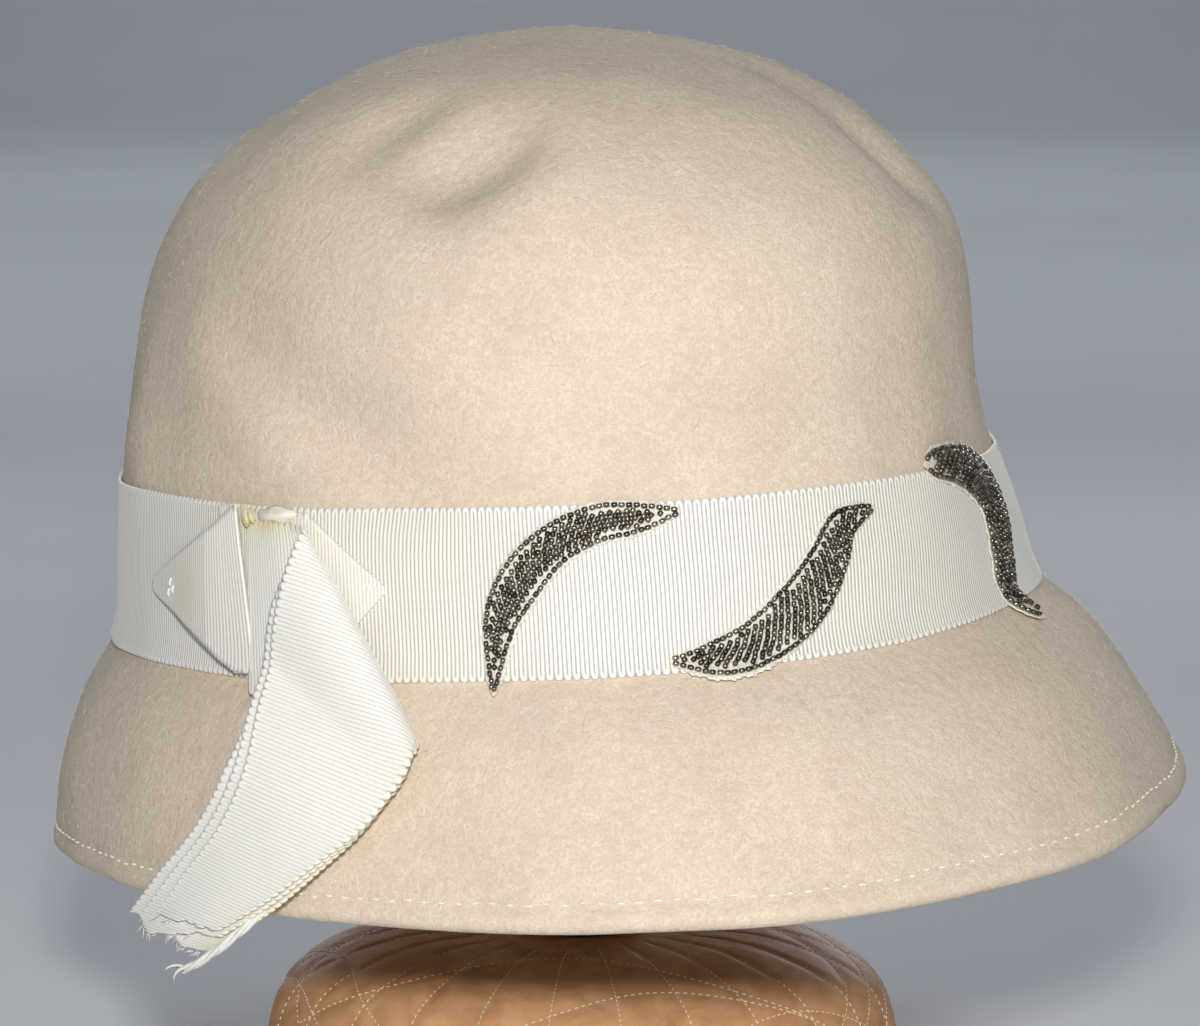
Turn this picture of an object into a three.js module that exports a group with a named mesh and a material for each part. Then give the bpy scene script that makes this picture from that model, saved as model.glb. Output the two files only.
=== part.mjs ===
// Cream felt hat with a ribbed ribbon band, a folded ribbon bow and three beaded leaves, resting on a stand
// with a turned wooden post and a padded round base. Millimetres, +Z up. The origin is the middle of the
// base's flat underside, and the hat's front faces -Y.
import * as THREE from "three";

// Felt: wall, turned-under hem with the rows of the table that it covers, and the columns round the oval
const FELT_WALL = 2.2;
const HEM_WALL = 4.0;
const HEM_ROWS = 1;
const HEM_STEP_ROWS = 0.08;
const COLUMNS = 56;
const EDGE_ARC_STEPS = 4;

// Ribbon: sheet thickness and the gap that is left between pieces that touch
const RIBBON = 1.0;
const GAP = 0.3;
const ON_FELT = GAP;
const ON_BAND = ON_FELT + RIBBON + GAP;

// Beaded leaves: depth of the bead work at its edge and along its middle
const LEAF_EDGE = 1.3;
const LEAF_CROWN = 0.9;

// Place of the hat on the stand: it leans to its right, about a level line towards LEAN_AXIS_DEG from -Y
const HAT_RISE = 102;
const HAT_SHIFT_X = -2;
const HAT_LEAN_DEG = 4.5;
const LEAN_AXIS_DEG = -25;

// Stand: padded base, round post and the domed cap inside the crown
const BASE_RADIUS = 63;
const BASE_HEIGHT = 37;
const POST_RADIUS = 11;
const CAP_RADIUS = 38;
const CAP_DOME_RADIUS = 97;
const CAP_TOP = 213.8;

// Side of the base, from its foot to the seat of the post, as shares of its radius and height
const BASE_SIDE = [
  { radius: 0.825, height: 0 },
  { radius: 0.965, height: 0.2 },
  { radius: 1, height: 0.48 },
  { radius: 0.9, height: 0.8 },
  { radius: 0.62, height: 0.98 },
  { radius: 0.35, height: 1.01 },
  { radius: 0.22, height: 1 },
];
const BASE_SIDE_STEPS = 11;
const BASE_SEGMENTS = 32;

// Rounded foot of the post, by height above its seat, and the flare under the cap, by depth below its rim
const POST_FOOT = [
  { radius: POST_RADIUS + 1.5, above: 0 },
  { radius: POST_RADIUS + 2.5, above: 3 },
  { radius: POST_RADIUS, above: 7 },
];
const CAP_FLARE = [
  { radius: POST_RADIUS, below: 21 },
  { radius: POST_RADIUS + 5, below: 11 },
  { radius: CAP_RADIUS - 1.5, below: 5 },
  { radius: CAP_RADIUS, below: 1 },
];
const DOME_STEPS = 6;
const POST_SEGMENTS = 24;

// Oval sections of the felt's outer face, from the brim's edge to the top of the crown. z is the height above
// the level where crown and brim meet, and the rest is the reach from the axis on each side of the oval.
const FELT_SECTIONS = [
  { z: -41.0, left: 106.0, right: 114.0, front: 134.0, back: 113.0 },
  { z: -33.5, left: 105.0, right: 111.5, front: 129.5, back: 112.0 },
  { z: -25.0, left: 103.3, right: 108.0, front: 124.5, back: 110.3 },
  { z: -16.0, left: 100.3, right: 103.8, front: 118.5, back: 108.0 },
  { z: -8.0, left: 96.5, right: 98.8, front: 112.2, back: 105.6 },
  { z: -2.5, left: 92.8, right: 94.2, front: 106.7, back: 103.6 },
  { z: 1.2, left: 90.2, right: 90.5, front: 103.0, back: 102.4 },
  { z: 6.0, left: 88.8, right: 88.6, front: 101.3, back: 101.0 },
  { z: 16.0, left: 87.6, right: 86.3, front: 99.6, back: 99.8 },
  { z: 25.0, left: 86.4, right: 84.0, front: 97.4, back: 98.3 },
  { z: 33.0, left: 85.2, right: 82.3, front: 95.6, back: 96.9 },
  { z: 44.0, left: 83.6, right: 80.9, front: 93.5, back: 95.0 },
  { z: 58.0, left: 81.2, right: 80.9, front: 92.4, back: 92.8 },
  { z: 70.0, left: 77.9, right: 79.6, front: 90.0, back: 89.6 },
  { z: 80.0, left: 73.2, right: 75.2, front: 85.0, back: 84.5 },
  { z: 90.0, left: 66.0, right: 67.4, front: 76.5, back: 75.6 },
  { z: 99.0, left: 55.0, right: 57.3, front: 64.5, back: 63.6 },
  { z: 106.0, left: 42.0, right: 44.0, front: 49.5, back: 48.5 },
  { z: 111.0, left: 27.0, right: 29.0, front: 32.0, back: 31.5 },
  { z: 114.0, left: 12.0, right: 13.0, front: 14.0, back: 14.0 },
  { z: 115.0, left: 0.0, right: 0.0, front: 0.0, back: 0.0 },
];
const BAND_LOW_ROW = 6;
const BAND_HIGH_ROW = 10;
const TOP_ROW = FELT_SECTIONS.length - 1;

// Rows of that table at which the felt has a ring of points, closer together at the bend and in the dents
const FELT_ROWS = [
  0, 1, 2, 3, 4, 5, 5.5, 6, 6.5, 7, 8, 9, 10, 11, 12, 13, 13.5, 14, 14.5, 15, 15.5, 16, 17, 18, 19,
];

// The brim's edge is this much higher at the two sides than at the front
const EDGE_RISE = 3.5;

// Dents of the crown: place, spread to each side, below and above, and depth. A swelling's depth is negative.
const DENTS = [
  { deg: -38, z: 91, wide: 13, below: 5, above: 10, depth: 6.0 },
  { deg: 41, z: 92, wide: 11, below: 9, above: 9, depth: 6.0 },
  { deg: -52, z: 49, wide: 13, below: 10, above: 10, depth: 2.2 },
  { deg: -78, z: 54, wide: 12, below: 11, above: 12, depth: -1.6 },
  { deg: 72, z: 45, wide: 16, below: 10, above: 12, depth: 1.4 },
];

// Spines of the beaded leaves, tip to tip: distance round the band from its front, height and half width
const LEAVES = {
  bead_leaf_front: [
    { along: -20.0, z: 28.8, half: 0.6 },
    { along: -28.0, z: 28.3, half: 2.8 },
    { along: -36.0, z: 27.8, half: 3.5 },
    { along: -44.6, z: 24.2, half: 3.8 },
    { along: -51.0, z: 18.0, half: 4.1 },
    { along: -55.2, z: 10.5, half: 3.0 },
    { along: -57.0, z: -2.0, half: 0.6 },
  ],
  bead_leaf_middle: [
    { along: -25.7, z: 2.2, half: 0.6 },
    { along: -18.0, z: 1.7, half: 3.4 },
    { along: -9.0, z: 3.9, half: 4.6 },
    { along: -0.2, z: 9.6, half: 5.0 },
    { along: 6.5, z: 16.5, half: 4.1 },
    { along: 11.5, z: 22.6, half: 3.0 },
    { along: 20.0, z: 25.0, half: 0.6 },
  ],
  bead_leaf_side: [
    { along: 35.0, z: 31.0, half: 0.6 },
    { along: 43.0, z: 29.5, half: 2.8 },
    { along: 52.6, z: 27.3, half: 4.3 },
    { along: 58.3, z: 20.4, half: 4.8 },
    { along: 57.0, z: 11.0, half: 4.2 },
    { along: 55.3, z: 3.5, half: 3.4 },
    { along: 59.5, z: -3.4, half: 0.7 },
  ],
};
const LEAF_STEPS = 14;
const LEAF_ACROSS = 4;

// Flat pieces of the bow on the band: distance round the band, lower and upper edge, height of the under face
// off the felt, and slant, which is how far the section leans over for each millimetre of height.
const BOW_LOOP = [
  { along: -140.2, low: 15.4, high: 16.6, lift: 1.7, slant: 0 },
  { along: -130.0, low: 12.4, high: 20.6, lift: 3.2, slant: 0 },
  { along: -120.5, low: 8.8, high: 25.0, lift: 4.7, slant: 0.02 },
  { along: -112.0, low: 1.8, high: 29.9, lift: 6.2, slant: 0.08 },
  { along: -106.8, low: -0.7, high: 32.6, lift: 6.9, slant: 0.14 },
  { along: -104.6, low: -0.9, high: 32.9, lift: 6.7, slant: 0.15 },
];
const BOW_TAB = [
  { along: -112.0, low: 2.0, high: 32.4, lift: ON_BAND, slant: 0 },
  { along: -103.0, low: 1.8, high: 32.4, lift: ON_BAND, slant: 0 },
  { along: -94.5, low: 1.8, high: 31.9, lift: ON_BAND, slant: 0 },
  { along: -85.5, low: 9.6, high: 25.2, lift: ON_BAND, slant: 0 },
  { along: -76.8, low: 17.2, high: 18.4, lift: ON_BAND, slant: 0 },
];
const MID_BAND_Z = 16;
const BOW_STEPS = 4;
const BOW_ACROSS = 4;

// Sections of the ribbon that comes out from under the loop, folds on the slant and hangs down as the tail.
// Each joins the edge that ends up left to the edge that ends up right: angle from the front, height, and
// distance off the felt.
const TAIL_SECTIONS = [
  { leftDeg: -68.0, leftZ: 29.8, leftLift: 3.0, rightDeg: -66.5, rightZ: -2.0, rightLift: 3.2 },
  { leftDeg: -63.0, leftZ: 29.0, leftLift: 3.6, rightDeg: -58.0, rightZ: -4.5, rightLift: 2.6 },
  { leftDeg: -58.0, leftZ: 28.0, leftLift: 4.6, rightDeg: -47.0, rightZ: -10.0, rightLift: 1.4 },
  { leftDeg: -55.2, leftZ: 26.8, leftLift: 7.2, rightDeg: -43.9, rightZ: -12.0, rightLift: 3.2 },
  { leftDeg: -57.2, leftZ: 25.3, leftLift: 9.5, rightDeg: -44.6, rightZ: -13.6, rightLift: 5.0 },
  { leftDeg: -59.0, leftZ: 17.0, leftLift: 10.4, rightDeg: -44.9, rightZ: -14.8, rightLift: 5.1 },
  { leftDeg: -60.2, leftZ: 6.0, leftLift: 10.4, rightDeg: -45.3, rightZ: -16.0, rightLift: 5.1 },
  { leftDeg: -61.0, leftZ: -9.0, leftLift: 10.0, rightDeg: -46.2, rightZ: -18.5, rightLift: 5.1 },
  { leftDeg: -63.6, leftZ: -20.8, leftLift: 8.0, rightDeg: -48.8, rightZ: -24.8, rightLift: 5.5 },
  { leftDeg: -67.2, leftZ: -29.0, leftLift: 7.0, rightDeg: -54.0, rightZ: -32.5, rightLift: 6.0 },
  { leftDeg: -70.8, leftZ: -36.2, leftLift: 7.0, rightDeg: -59.3, rightZ: -39.0, rightLift: 7.0 },
  { leftDeg: -73.2, leftZ: -46.6, leftLift: 7.0, rightDeg: -65.0, rightZ: -46.4, rightLift: 8.0 },
];
const TAIL_STEPS = 3;
const TAIL_ACROSS = 4;
const TAIL_END_ROW = TAIL_SECTIONS.length - 1;
const UNDER_START_ROW = 6.6;
const UNDER_LAYERS = [
  { name: "tail_middle", layer: 1, endRow: TAIL_END_ROW + 0.15 },
  { name: "tail_under", layer: 2, endRow: TAIL_END_ROW + 0.5 },
];

// From one layer of the tail to the next below it
const LAYER_STEP = { leftDeg: -1.3, rightDeg: -0.3, z: -0.9, lift: -(RIBBON + 1.5 * GAP) };

const FELT_COLOR = "#e9d9c0";
const RIBBON_COLOR = "#ebe8de";
const BEAD_COLOR = "#6f6759";
const WOOD_COLOR = "#7a4a2a";
const SATIN_COLOR = "#b98f62";

// Smooth lookup in a table of rows with named columns, carried on in a straight line past either end.
function smoothTable(rows) {
  const columns = Object.keys(rows[0]);
  const values = rows.flatMap((row) => columns.map((column) => row[column]));
  const curve = new THREE.CubicInterpolant(rows.map((_, i) => i), values, columns.length);
  const last = rows.length - 1;
  return (position) => {
    const inside = THREE.MathUtils.clamp(position, 0, last);
    const past = position - inside;
    const end = past < 0 ? [rows[0], rows[1]] : [rows[last - 1], rows[last]];
    const found = [...curve.evaluate(inside)];
    return Object.fromEntries(
      columns.map((column, i) => [column, found[i] + past * (end[1][column] - end[0][column])]),
    );
  };
}

const feltSection = smoothTable(FELT_SECTIONS);

// How far a dent draws the felt in at an angle and height.
function dentDepth(angle, z) {
  let depth = 0;
  for (const dent of DENTS) {
    const aside = (THREE.MathUtils.radToDeg(angle) - dent.deg) / dent.wide;
    const above = (z - dent.z) / (z > dent.z ? dent.above : dent.below);
    depth += dent.depth * Math.exp(-aside * aside - above * above);
  }
  return depth;
}

// A point of the felt's outer face. The angle runs from the front, -Y, towards +X, within half a turn.
function feltPoint(row, angle) {
  const { z, left, right, front, back } = feltSection(row);
  const side = Math.sin(angle) > 0 ? right : left;
  const fore = Math.cos(angle) > 0 ? front : back;
  const toEdge = Math.max(1 - row / BAND_LOW_ROW, 0);
  const rise = EDGE_RISE * toEdge ** 2 * Math.sin(angle) ** 2;
  const point = new THREE.Vector3(side * Math.sin(angle), -fore * Math.cos(angle), z + rise);
  const inward = new THREE.Vector3(-point.x, -point.y, -Math.max(z, 0) / 2).normalize();
  return point.addScaledVector(inward, dentDepth(angle, z));
}

// Outward normal of that face, and the direction down its profile, by small steps.
function feltFrame(row, angle) {
  const step = 1e-3;
  const here = feltPoint(row, angle);
  const round = feltPoint(row, angle + step).sub(feltPoint(row, angle - step)).normalize();
  const down = feltPoint(row - step, angle).sub(feltPoint(row + step, angle)).normalize();
  return { here, down, normal: down.clone().cross(round).normalize() };
}

// A point at a distance off the felt.
function offFelt(row, angle, lift) {
  const { here, normal } = feltFrame(row, angle);
  return here.addScaledVector(normal, lift);
}

// Row of the table that has a given height, found by halving. The rows below 0 lie past the brim's edge.
function rowAtHeight(z) {
  const halvings = 40;
  let low = -3;
  let high = TOP_ROW;
  for (let i = 0; i < halvings; i++) {
    const middle = (low + high) / 2;
    if (feltSection(middle).z < z) low = middle;
    else high = middle;
  }
  return low;
}

// Angle at a distance round the band from its front, measured at mid height.
const midBandRow = rowAtHeight(MID_BAND_Z);
const bandAngle = (() => {
  const steps = 720;
  const angles = Array.from({ length: steps + 1 }, (_, i) => (i / steps - 0.5) * 2 * Math.PI);
  const points = angles.map((angle) => feltPoint(midBandRow, angle));
  const distances = [0];
  for (let i = 1; i <= steps; i++) distances.push(distances[i - 1] + points[i].distanceTo(points[i - 1]));
  const front = distances[steps / 2];
  const lookup = new THREE.LinearInterpolant(distances.map((distance) => distance - front), angles, 1);
  return (along) => lookup.evaluate(along)[0];
})();

// A closed surface through rings of points. A ring of one point is a pole, and a loop joins its last ring to
// its first.
function skin(rings, loop = false) {
  const starts = [];
  const points = [];
  for (const ring of rings) {
    starts.push(points.length);
    points.push(...ring);
  }
  const at = (ring, k) => starts[ring] + (k % rings[ring].length);
  const faces = [];
  const joins = loop ? rings.length : rings.length - 1;
  for (let i = 0; i < joins; i++) {
    const next = (i + 1) % rings.length;
    const sides = Math.max(rings[i].length, rings[next].length);
    for (let k = 0; k < sides; k++) {
      const [a, b, c, d] = [at(i, k), at(i, k + 1), at(next, k + 1), at(next, k)];
      if (a !== b) faces.push(a, b, c);
      if (c !== d) faces.push(a, c, d);
    }
  }
  const geometry = new THREE.BufferGeometry().setFromPoints(points);
  geometry.setIndex(faces);
  geometry.computeVertexNormals();
  return geometry;
}

// Angles of the columns round the oval, from half a turn behind the front.
const columnAngles = Array.from({ length: COLUMNS }, (_, k) => (k / COLUMNS - 0.5) * 2 * Math.PI);

const ringOffFelt = (row, lift) => columnAngles.map((angle) => offFelt(row, angle, lift));

// Crown and brim: inner face from the top down, a rounded edge, and the outer face back up to the top.
function feltGeometry() {
  const hemRows = FELT_ROWS.filter((row) => row < HEM_ROWS);
  const innerRows = FELT_ROWS.filter((row) => row > HEM_ROWS);
  const inner = innerRows.reverse().map((row) => ringOffFelt(row, -FELT_WALL));
  const hemTop = [
    ringOffFelt(HEM_ROWS + HEM_STEP_ROWS, -FELT_WALL),
    ringOffFelt(HEM_ROWS, -HEM_WALL),
  ];
  const hem = hemRows.reverse().map((row) => ringOffFelt(row, -HEM_WALL));
  const edge = [];
  for (let i = 1; i < EDGE_ARC_STEPS; i++) {
    const turn = (i / EDGE_ARC_STEPS) * Math.PI;
    edge.push(
      columnAngles.map((angle) => {
        const { here, down, normal } = feltFrame(0, angle);
        return here
          .addScaledVector(normal, (-HEM_WALL / 2) * (1 + Math.cos(turn)))
          .addScaledVector(down, (HEM_WALL / 2) * Math.sin(turn));
      }),
    );
  }
  const outer = FELT_ROWS.map((row) => ringOffFelt(row, 0));
  const top = FELT_SECTIONS[TOP_ROW].z;
  const innerPole = [new THREE.Vector3(0, 0, top - FELT_WALL)];
  const outerPole = [new THREE.Vector3(0, 0, top)];
  return skin([innerPole, ...inner, ...hemTop, ...hem, ...edge, ...outer, outerPole]);
}

// Ribbon band: up its outer face and down its inner face, on the same rows and columns as the felt under it.
function bandGeometry() {
  const rows = FELT_ROWS.filter((row) => row >= BAND_LOW_ROW && row <= BAND_HIGH_ROW);
  const outer = rows.map((row) => ringOffFelt(row, ON_FELT + RIBBON));
  const inner = rows.reverse().map((row) => ringOffFelt(row, ON_FELT));
  return skin([...outer, ...inner], true);
}

// A sheet through sections of points, thickened on one side along its normal by thickness(section, point).
function sheetGeometry(sections, thickness) {
  const last = sections.length - 1;
  const rings = sections.map((section, i) => {
    const before = sections[Math.max(i - 1, 0)];
    const after = sections[Math.min(i + 1, last)];
    const far = section.map((point, j) => {
      const along = after[j].clone().sub(before[j]);
      const across = section[Math.min(j + 1, section.length - 1)].clone().sub(section[Math.max(j - 1, 0)]);
      return point.clone().addScaledVector(along.cross(across).normalize(), thickness(i, j));
    });
    return [...section, ...far.reverse()];
  });
  const middle = (ring) => {
    const sum = ring.reduce((total, point) => total.add(point), new THREE.Vector3());
    return [sum.divideScalar(ring.length)];
  };
  return skin([middle(rings[0]), ...rings, middle(rings[last])]);
}

const fractions = (steps) => Array.from({ length: steps + 1 }, (_, i) => i / steps);

// Beaded leaf: a spine on the band, its half width to either side, and a low crown along the middle.
function leafGeometry(rows) {
  const spine = new THREE.CatmullRomCurve3(rows.map((row) => new THREE.Vector3(row.along, row.z, row.half)));
  const sections = fractions(LEAF_STEPS).map((t) => {
    const here = spine.getPoint(t);
    const tangent = spine.getTangent(t).setZ(0).normalize();
    return fractions(LEAF_ACROSS).map((s) => {
      const aside = (2 * s - 1) * here.z;
      const along = here.x - tangent.y * aside;
      const z = here.y + tangent.x * aside;
      return offFelt(rowAtHeight(z), bandAngle(along), ON_BAND);
    });
  });
  const crown = (j) => Math.sin((j / LEAF_ACROSS) * Math.PI);
  return sheetGeometry(sections, (i, j) => LEAF_EDGE + LEAF_CROWN * crown(j));
}

// Flat piece of the bow, lofted through its table.
function flatBowGeometry(rows) {
  const table = smoothTable(rows);
  const sections = fractions((rows.length - 1) * BOW_STEPS).map((t) => {
    const { along, low, high, lift, slant } = table(t * (rows.length - 1));
    return fractions(BOW_ACROSS).map((s) => {
      const z = THREE.MathUtils.lerp(low, high, s);
      const angle = bandAngle(along + slant * (MID_BAND_Z - z));
      return offFelt(rowAtHeight(z), angle, Math.max(lift, ON_BAND));
    });
  });
  return sheetGeometry(sections, () => RIBBON);
}

// Section of the tail at a row, as a straight line from its right edge to its left, some layers further in.
const tailTable = smoothTable(TAIL_SECTIONS);
function tailSection(row, layer) {
  const { leftDeg, leftZ, leftLift, rightDeg, rightZ, rightLift } = tailTable(row);
  const edge = (deg, z, lift) =>
    offFelt(
      rowAtHeight(z + layer * LAYER_STEP.z),
      THREE.MathUtils.degToRad(deg),
      lift + layer * LAYER_STEP.lift,
    );
  const right = edge(rightDeg + layer * LAYER_STEP.rightDeg, rightZ, rightLift);
  const left = edge(leftDeg + layer * LAYER_STEP.leftDeg, leftZ, leftLift);
  return fractions(TAIL_ACROSS).map((s) => right.clone().lerp(left, s));
}

// Length of ribbon between two rows of the tail's table. Its thickness lies on the inner side of the fold.
function tailGeometry(startRow, endRow, layer) {
  const steps = Math.round((endRow - startRow) * TAIL_STEPS);
  const sections = fractions(steps).map((t) => tailSection(THREE.MathUtils.lerp(startRow, endRow, t), layer));
  return sheetGeometry(sections, () => RIBBON);
}

// Turned profile about the vertical axis, from the bottom of the axis to its top.
function turned(profile, segments) {
  const geometry = new THREE.LatheGeometry(profile, segments);
  return geometry.rotateX(Math.PI / 2);
}

// Padded base: flat underside, round side and a small flat seat for the post.
function baseGeometry() {
  const side = new THREE.SplineCurve(
    BASE_SIDE.map(({ radius, height }) => new THREE.Vector2(radius * BASE_RADIUS, height * BASE_HEIGHT)),
  );
  const bottom = new THREE.Vector2(0, 0);
  const seat = new THREE.Vector2(0, BASE_HEIGHT);
  return turned([bottom, ...side.getPoints(BASE_SIDE_STEPS), seat], BASE_SEGMENTS);
}

// Post and cap: a straight round post with a rounded foot, and a domed cap under the crown.
function postGeometry() {
  const seat = BASE_HEIGHT + GAP;
  const domeCentre = CAP_TOP - CAP_DOME_RADIUS;
  const domeTurn = Math.asin(CAP_RADIUS / CAP_DOME_RADIUS);
  const rim = domeCentre + Math.sqrt(CAP_DOME_RADIUS ** 2 - CAP_RADIUS ** 2);
  const dome = fractions(DOME_STEPS).map((t) => {
    const turn = domeTurn * (1 - t);
    return new THREE.Vector2(CAP_DOME_RADIUS * Math.sin(turn), domeCentre + CAP_DOME_RADIUS * Math.cos(turn));
  });
  dome.at(-1).x = 0;
  const foot = POST_FOOT.map(({ radius, above }) => new THREE.Vector2(radius, seat + above));
  const flare = CAP_FLARE.map(({ radius, below }) => new THREE.Vector2(radius, rim - below));
  return turned([new THREE.Vector2(0, seat), ...foot, ...flare, ...dome], POST_SEGMENTS);
}

function piece(name, geometry, color, roughness, metalness = 0) {
  const mesh = new THREE.Mesh(geometry, new THREE.MeshStandardMaterial({ color, roughness, metalness }));
  mesh.name = name;
  return mesh;
}

const ribbonPiece = (name, geometry) => piece(name, geometry, RIBBON_COLOR, 0.6);

const hat = new THREE.Group();
const leanAxis = THREE.MathUtils.degToRad(LEAN_AXIS_DEG);
hat.position.set(HAT_SHIFT_X, 0, HAT_RISE);
hat.quaternion.setFromAxisAngle(
  new THREE.Vector3(Math.sin(leanAxis), -Math.cos(leanAxis), 0),
  THREE.MathUtils.degToRad(HAT_LEAN_DEG),
);
hat.add(piece("felt_body", feltGeometry(), FELT_COLOR, 0.95));
hat.add(ribbonPiece("hat_band", bandGeometry()));
hat.add(ribbonPiece("bow_loop", flatBowGeometry(BOW_LOOP)));
hat.add(ribbonPiece("bow_tab", flatBowGeometry(BOW_TAB)));
hat.add(ribbonPiece("bow_tail", tailGeometry(0, TAIL_END_ROW, 0)));
for (const { name, layer, endRow } of UNDER_LAYERS)
  hat.add(ribbonPiece(name, tailGeometry(UNDER_START_ROW, endRow, layer)));
for (const [name, rows] of Object.entries(LEAVES))
  hat.add(piece(name, leafGeometry(rows), BEAD_COLOR, 0.35, 0.7));

const stand = new THREE.Group();
stand.add(piece("stand_post", postGeometry(), WOOD_COLOR, 0.45));
stand.add(piece("stand_base", baseGeometry(), SATIN_COLOR, 0.5));

const part = new THREE.Group();
part.add(stand, hat);

export default part;
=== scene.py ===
"""Cream felt hat on a padded stand: its felt, ribbons, bead work and stand as surfaces worked out by formula.

The part's frame is kept: +Z up, the hat's front towards -Y. Formulas work in millimetres, and the hat's own
points are leaned and raised to their place on the stand where a mesh is filled.
"""

import math

import bpy
import numpy as np
from mathutils import Matrix


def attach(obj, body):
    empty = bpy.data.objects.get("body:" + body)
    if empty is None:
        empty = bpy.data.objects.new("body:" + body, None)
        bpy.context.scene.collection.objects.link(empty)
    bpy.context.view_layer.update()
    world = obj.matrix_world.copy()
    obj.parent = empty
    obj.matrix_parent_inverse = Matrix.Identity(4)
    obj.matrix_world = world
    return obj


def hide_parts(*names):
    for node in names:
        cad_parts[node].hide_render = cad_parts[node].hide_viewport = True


bl_info = {
    "name": "Felt hat on a stand",
    "version": (1, 0, 0),
    "blender": (4, 5, 0),
    "location": "3D View > Sidebar > Hat",
    "description": "Builds a felt hat with a ribbon band, a bow and beaded leaves around its solids",
    "category": "Add Mesh",
}

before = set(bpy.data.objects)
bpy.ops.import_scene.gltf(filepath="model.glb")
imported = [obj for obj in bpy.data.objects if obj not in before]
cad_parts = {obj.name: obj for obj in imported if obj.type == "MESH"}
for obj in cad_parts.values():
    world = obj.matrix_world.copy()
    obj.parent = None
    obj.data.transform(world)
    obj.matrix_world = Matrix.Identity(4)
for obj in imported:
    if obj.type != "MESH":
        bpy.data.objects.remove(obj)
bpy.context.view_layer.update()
MM = 0.001
# Fixed seeds of the random draws
SEEDS = {"waves": 11, "hem": 5, "nap": 23, "tail_cuts": 17, "frayed": 29, "beads": 7}

# Place of the hat on the stand: it leans about a level line that points this far from the front
HAT_PLACE = np.array([-2.0, 0.0, 102.0])
HAT_LEAN_DEG = 4.5
LEAN_AXIS_DEG = -25.0

# Oval sections of the felt's outer face from the brim's edge to the top of the crown.
# Columns: height above the level where crown and brim meet, reach to the left, right, front and back.
FELT_SECTIONS = np.array([
    (-41.0, 106.0, 114.0, 134.0, 113.0),
    (-33.5, 105.0, 111.5, 129.5, 112.0),
    (-25.0, 103.3, 108.0, 124.5, 110.3),
    (-16.0, 100.3, 103.8, 118.5, 108.0),
    (-8.0, 96.5, 98.6, 112.2, 105.6),
    (-2.5, 92.8, 93.4, 106.7, 103.6),
    (1.2, 90.2, 89.4, 103.0, 102.4),
    (6.0, 88.8, 87.3, 101.3, 101.0),
    (16.0, 87.6, 85.2, 99.6, 99.8),
    (25.0, 86.4, 82.6, 97.4, 98.3),
    (33.0, 85.2, 80.7, 95.6, 96.9),
    (44.0, 83.4, 79.7, 93.5, 95.0),
    (58.0, 79.8, 80.4, 92.4, 92.8),
    (70.0, 76.0, 79.6, 90.0, 89.6),
    (80.0, 71.6, 75.2, 85.0, 84.5),
    (90.0, 65.2, 67.4, 76.5, 75.6),
    (99.0, 55.0, 57.3, 64.5, 63.6),
    (106.0, 42.0, 44.0, 49.5, 48.5),
    (111.0, 27.0, 29.0, 32.0, 31.5),
    (114.0, 12.0, 13.0, 14.0, 14.0),
    (115.0, 0.0, 0.0, 0.0, 0.0),
])
TOP_ROW = len(FELT_SECTIONS) - 1
BAND_LOW_ROW = 6
BAND_HIGH_ROW = 10
MID_BAND_Z = 16.0
HEM_STITCH_ROW = 0.6
# Brim: rise of its edge at the sides, row where its round edge starts, and how far that edge rolls out
EDGE_RISE = 3.5
EDGE_ROW = 0.2
RIM_ROLL = 0.3

# Lines pressed into the crown. Columns: degrees from the front and height of its two ends, how far the ends
# bend to the line's left, spread to its right and to its left, depth. A negative depth is a bulge.
PRESSED_LINES = np.array([
    (-47, 87, -26, 99, 3.5, 9, 12, 4.6),
    (-64, 93, -49, 106, 0, 9, 8, 2.3),
    (58, 105, 42, 97, 0, 9, 8, 2.8),
    (42, 97, 48, 78, 0, 9, 9, 3.8),
    (-80, 64, -42, 32, 0, 7, 11, 3.6),
    (-106, 44, -90, 38, 0, 15, 15, -1.6),
    (-140, 100, -90, 100, 0, 16, 16, 0.9),
])
# Depth inside the hat to which a pressed line reaches, and the depth over which it fades out there
PRESS_REACH = 40.0
PRESS_FADE = 5.0
# Long waves of the hand-blocked felt. Columns: wavelength, height. Each runs in WAVE_WAYS directions.
FELT_WAVES = np.array([(70, 0.22), (46, 0.16), (31, 0.10), (19, 0.05)])
WAVE_WAYS = 3

# Places where the felt is speckled darker: at the brim's front, at the dents and over the crown's top.
# Columns: degrees from the front, height, spread aside, spread up, strength.
FELT_DARKER_SPOTS = np.array([
    (2, -6, 14, 5, 0.9),
    (26, -5, 10, 5, 0.6),
    (-38, 88, 14, 7, 0.8),
    (44, 90, 13, 12, 0.7),
    (0, 114, 90, 20, 0.35),
    (8, 84, 18, 10, 0.3),
])

# Spines of the beaded leaves, tip to tip.
# Columns: distance round the band from its front, height, half width.
LEAVES = {
    "front": np.array([
        (-20.0, 28.8, 0.6), (-28.0, 28.3, 2.8), (-36.0, 27.8, 3.5), (-44.6, 24.2, 3.8),
        (-51.0, 18.0, 4.1), (-55.2, 10.5, 3.0), (-57.0, -2.0, 0.6),
    ]),
    "middle": np.array([
        (-25.7, 2.2, 0.6), (-18.0, 1.7, 3.4), (-9.0, 3.9, 4.6), (-0.2, 9.6, 5.0),
        (6.5, 16.5, 4.1), (11.5, 22.6, 3.0), (20.0, 25.0, 0.6),
    ]),
    "side": np.array([
        (36.6, 30.2, 0.6), (39.0, 30.1, 2.6), (46.0, 29.2, 3.8), (54.4, 26.6, 5.0), (60.6, 20.4, 5.6),
        (59.4, 11.0, 5.0), (57.4, 4.4, 4.0), (58.8, 0.0, 2.8), (61.5, -3.2, 0.7),
    ]),
}

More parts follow.
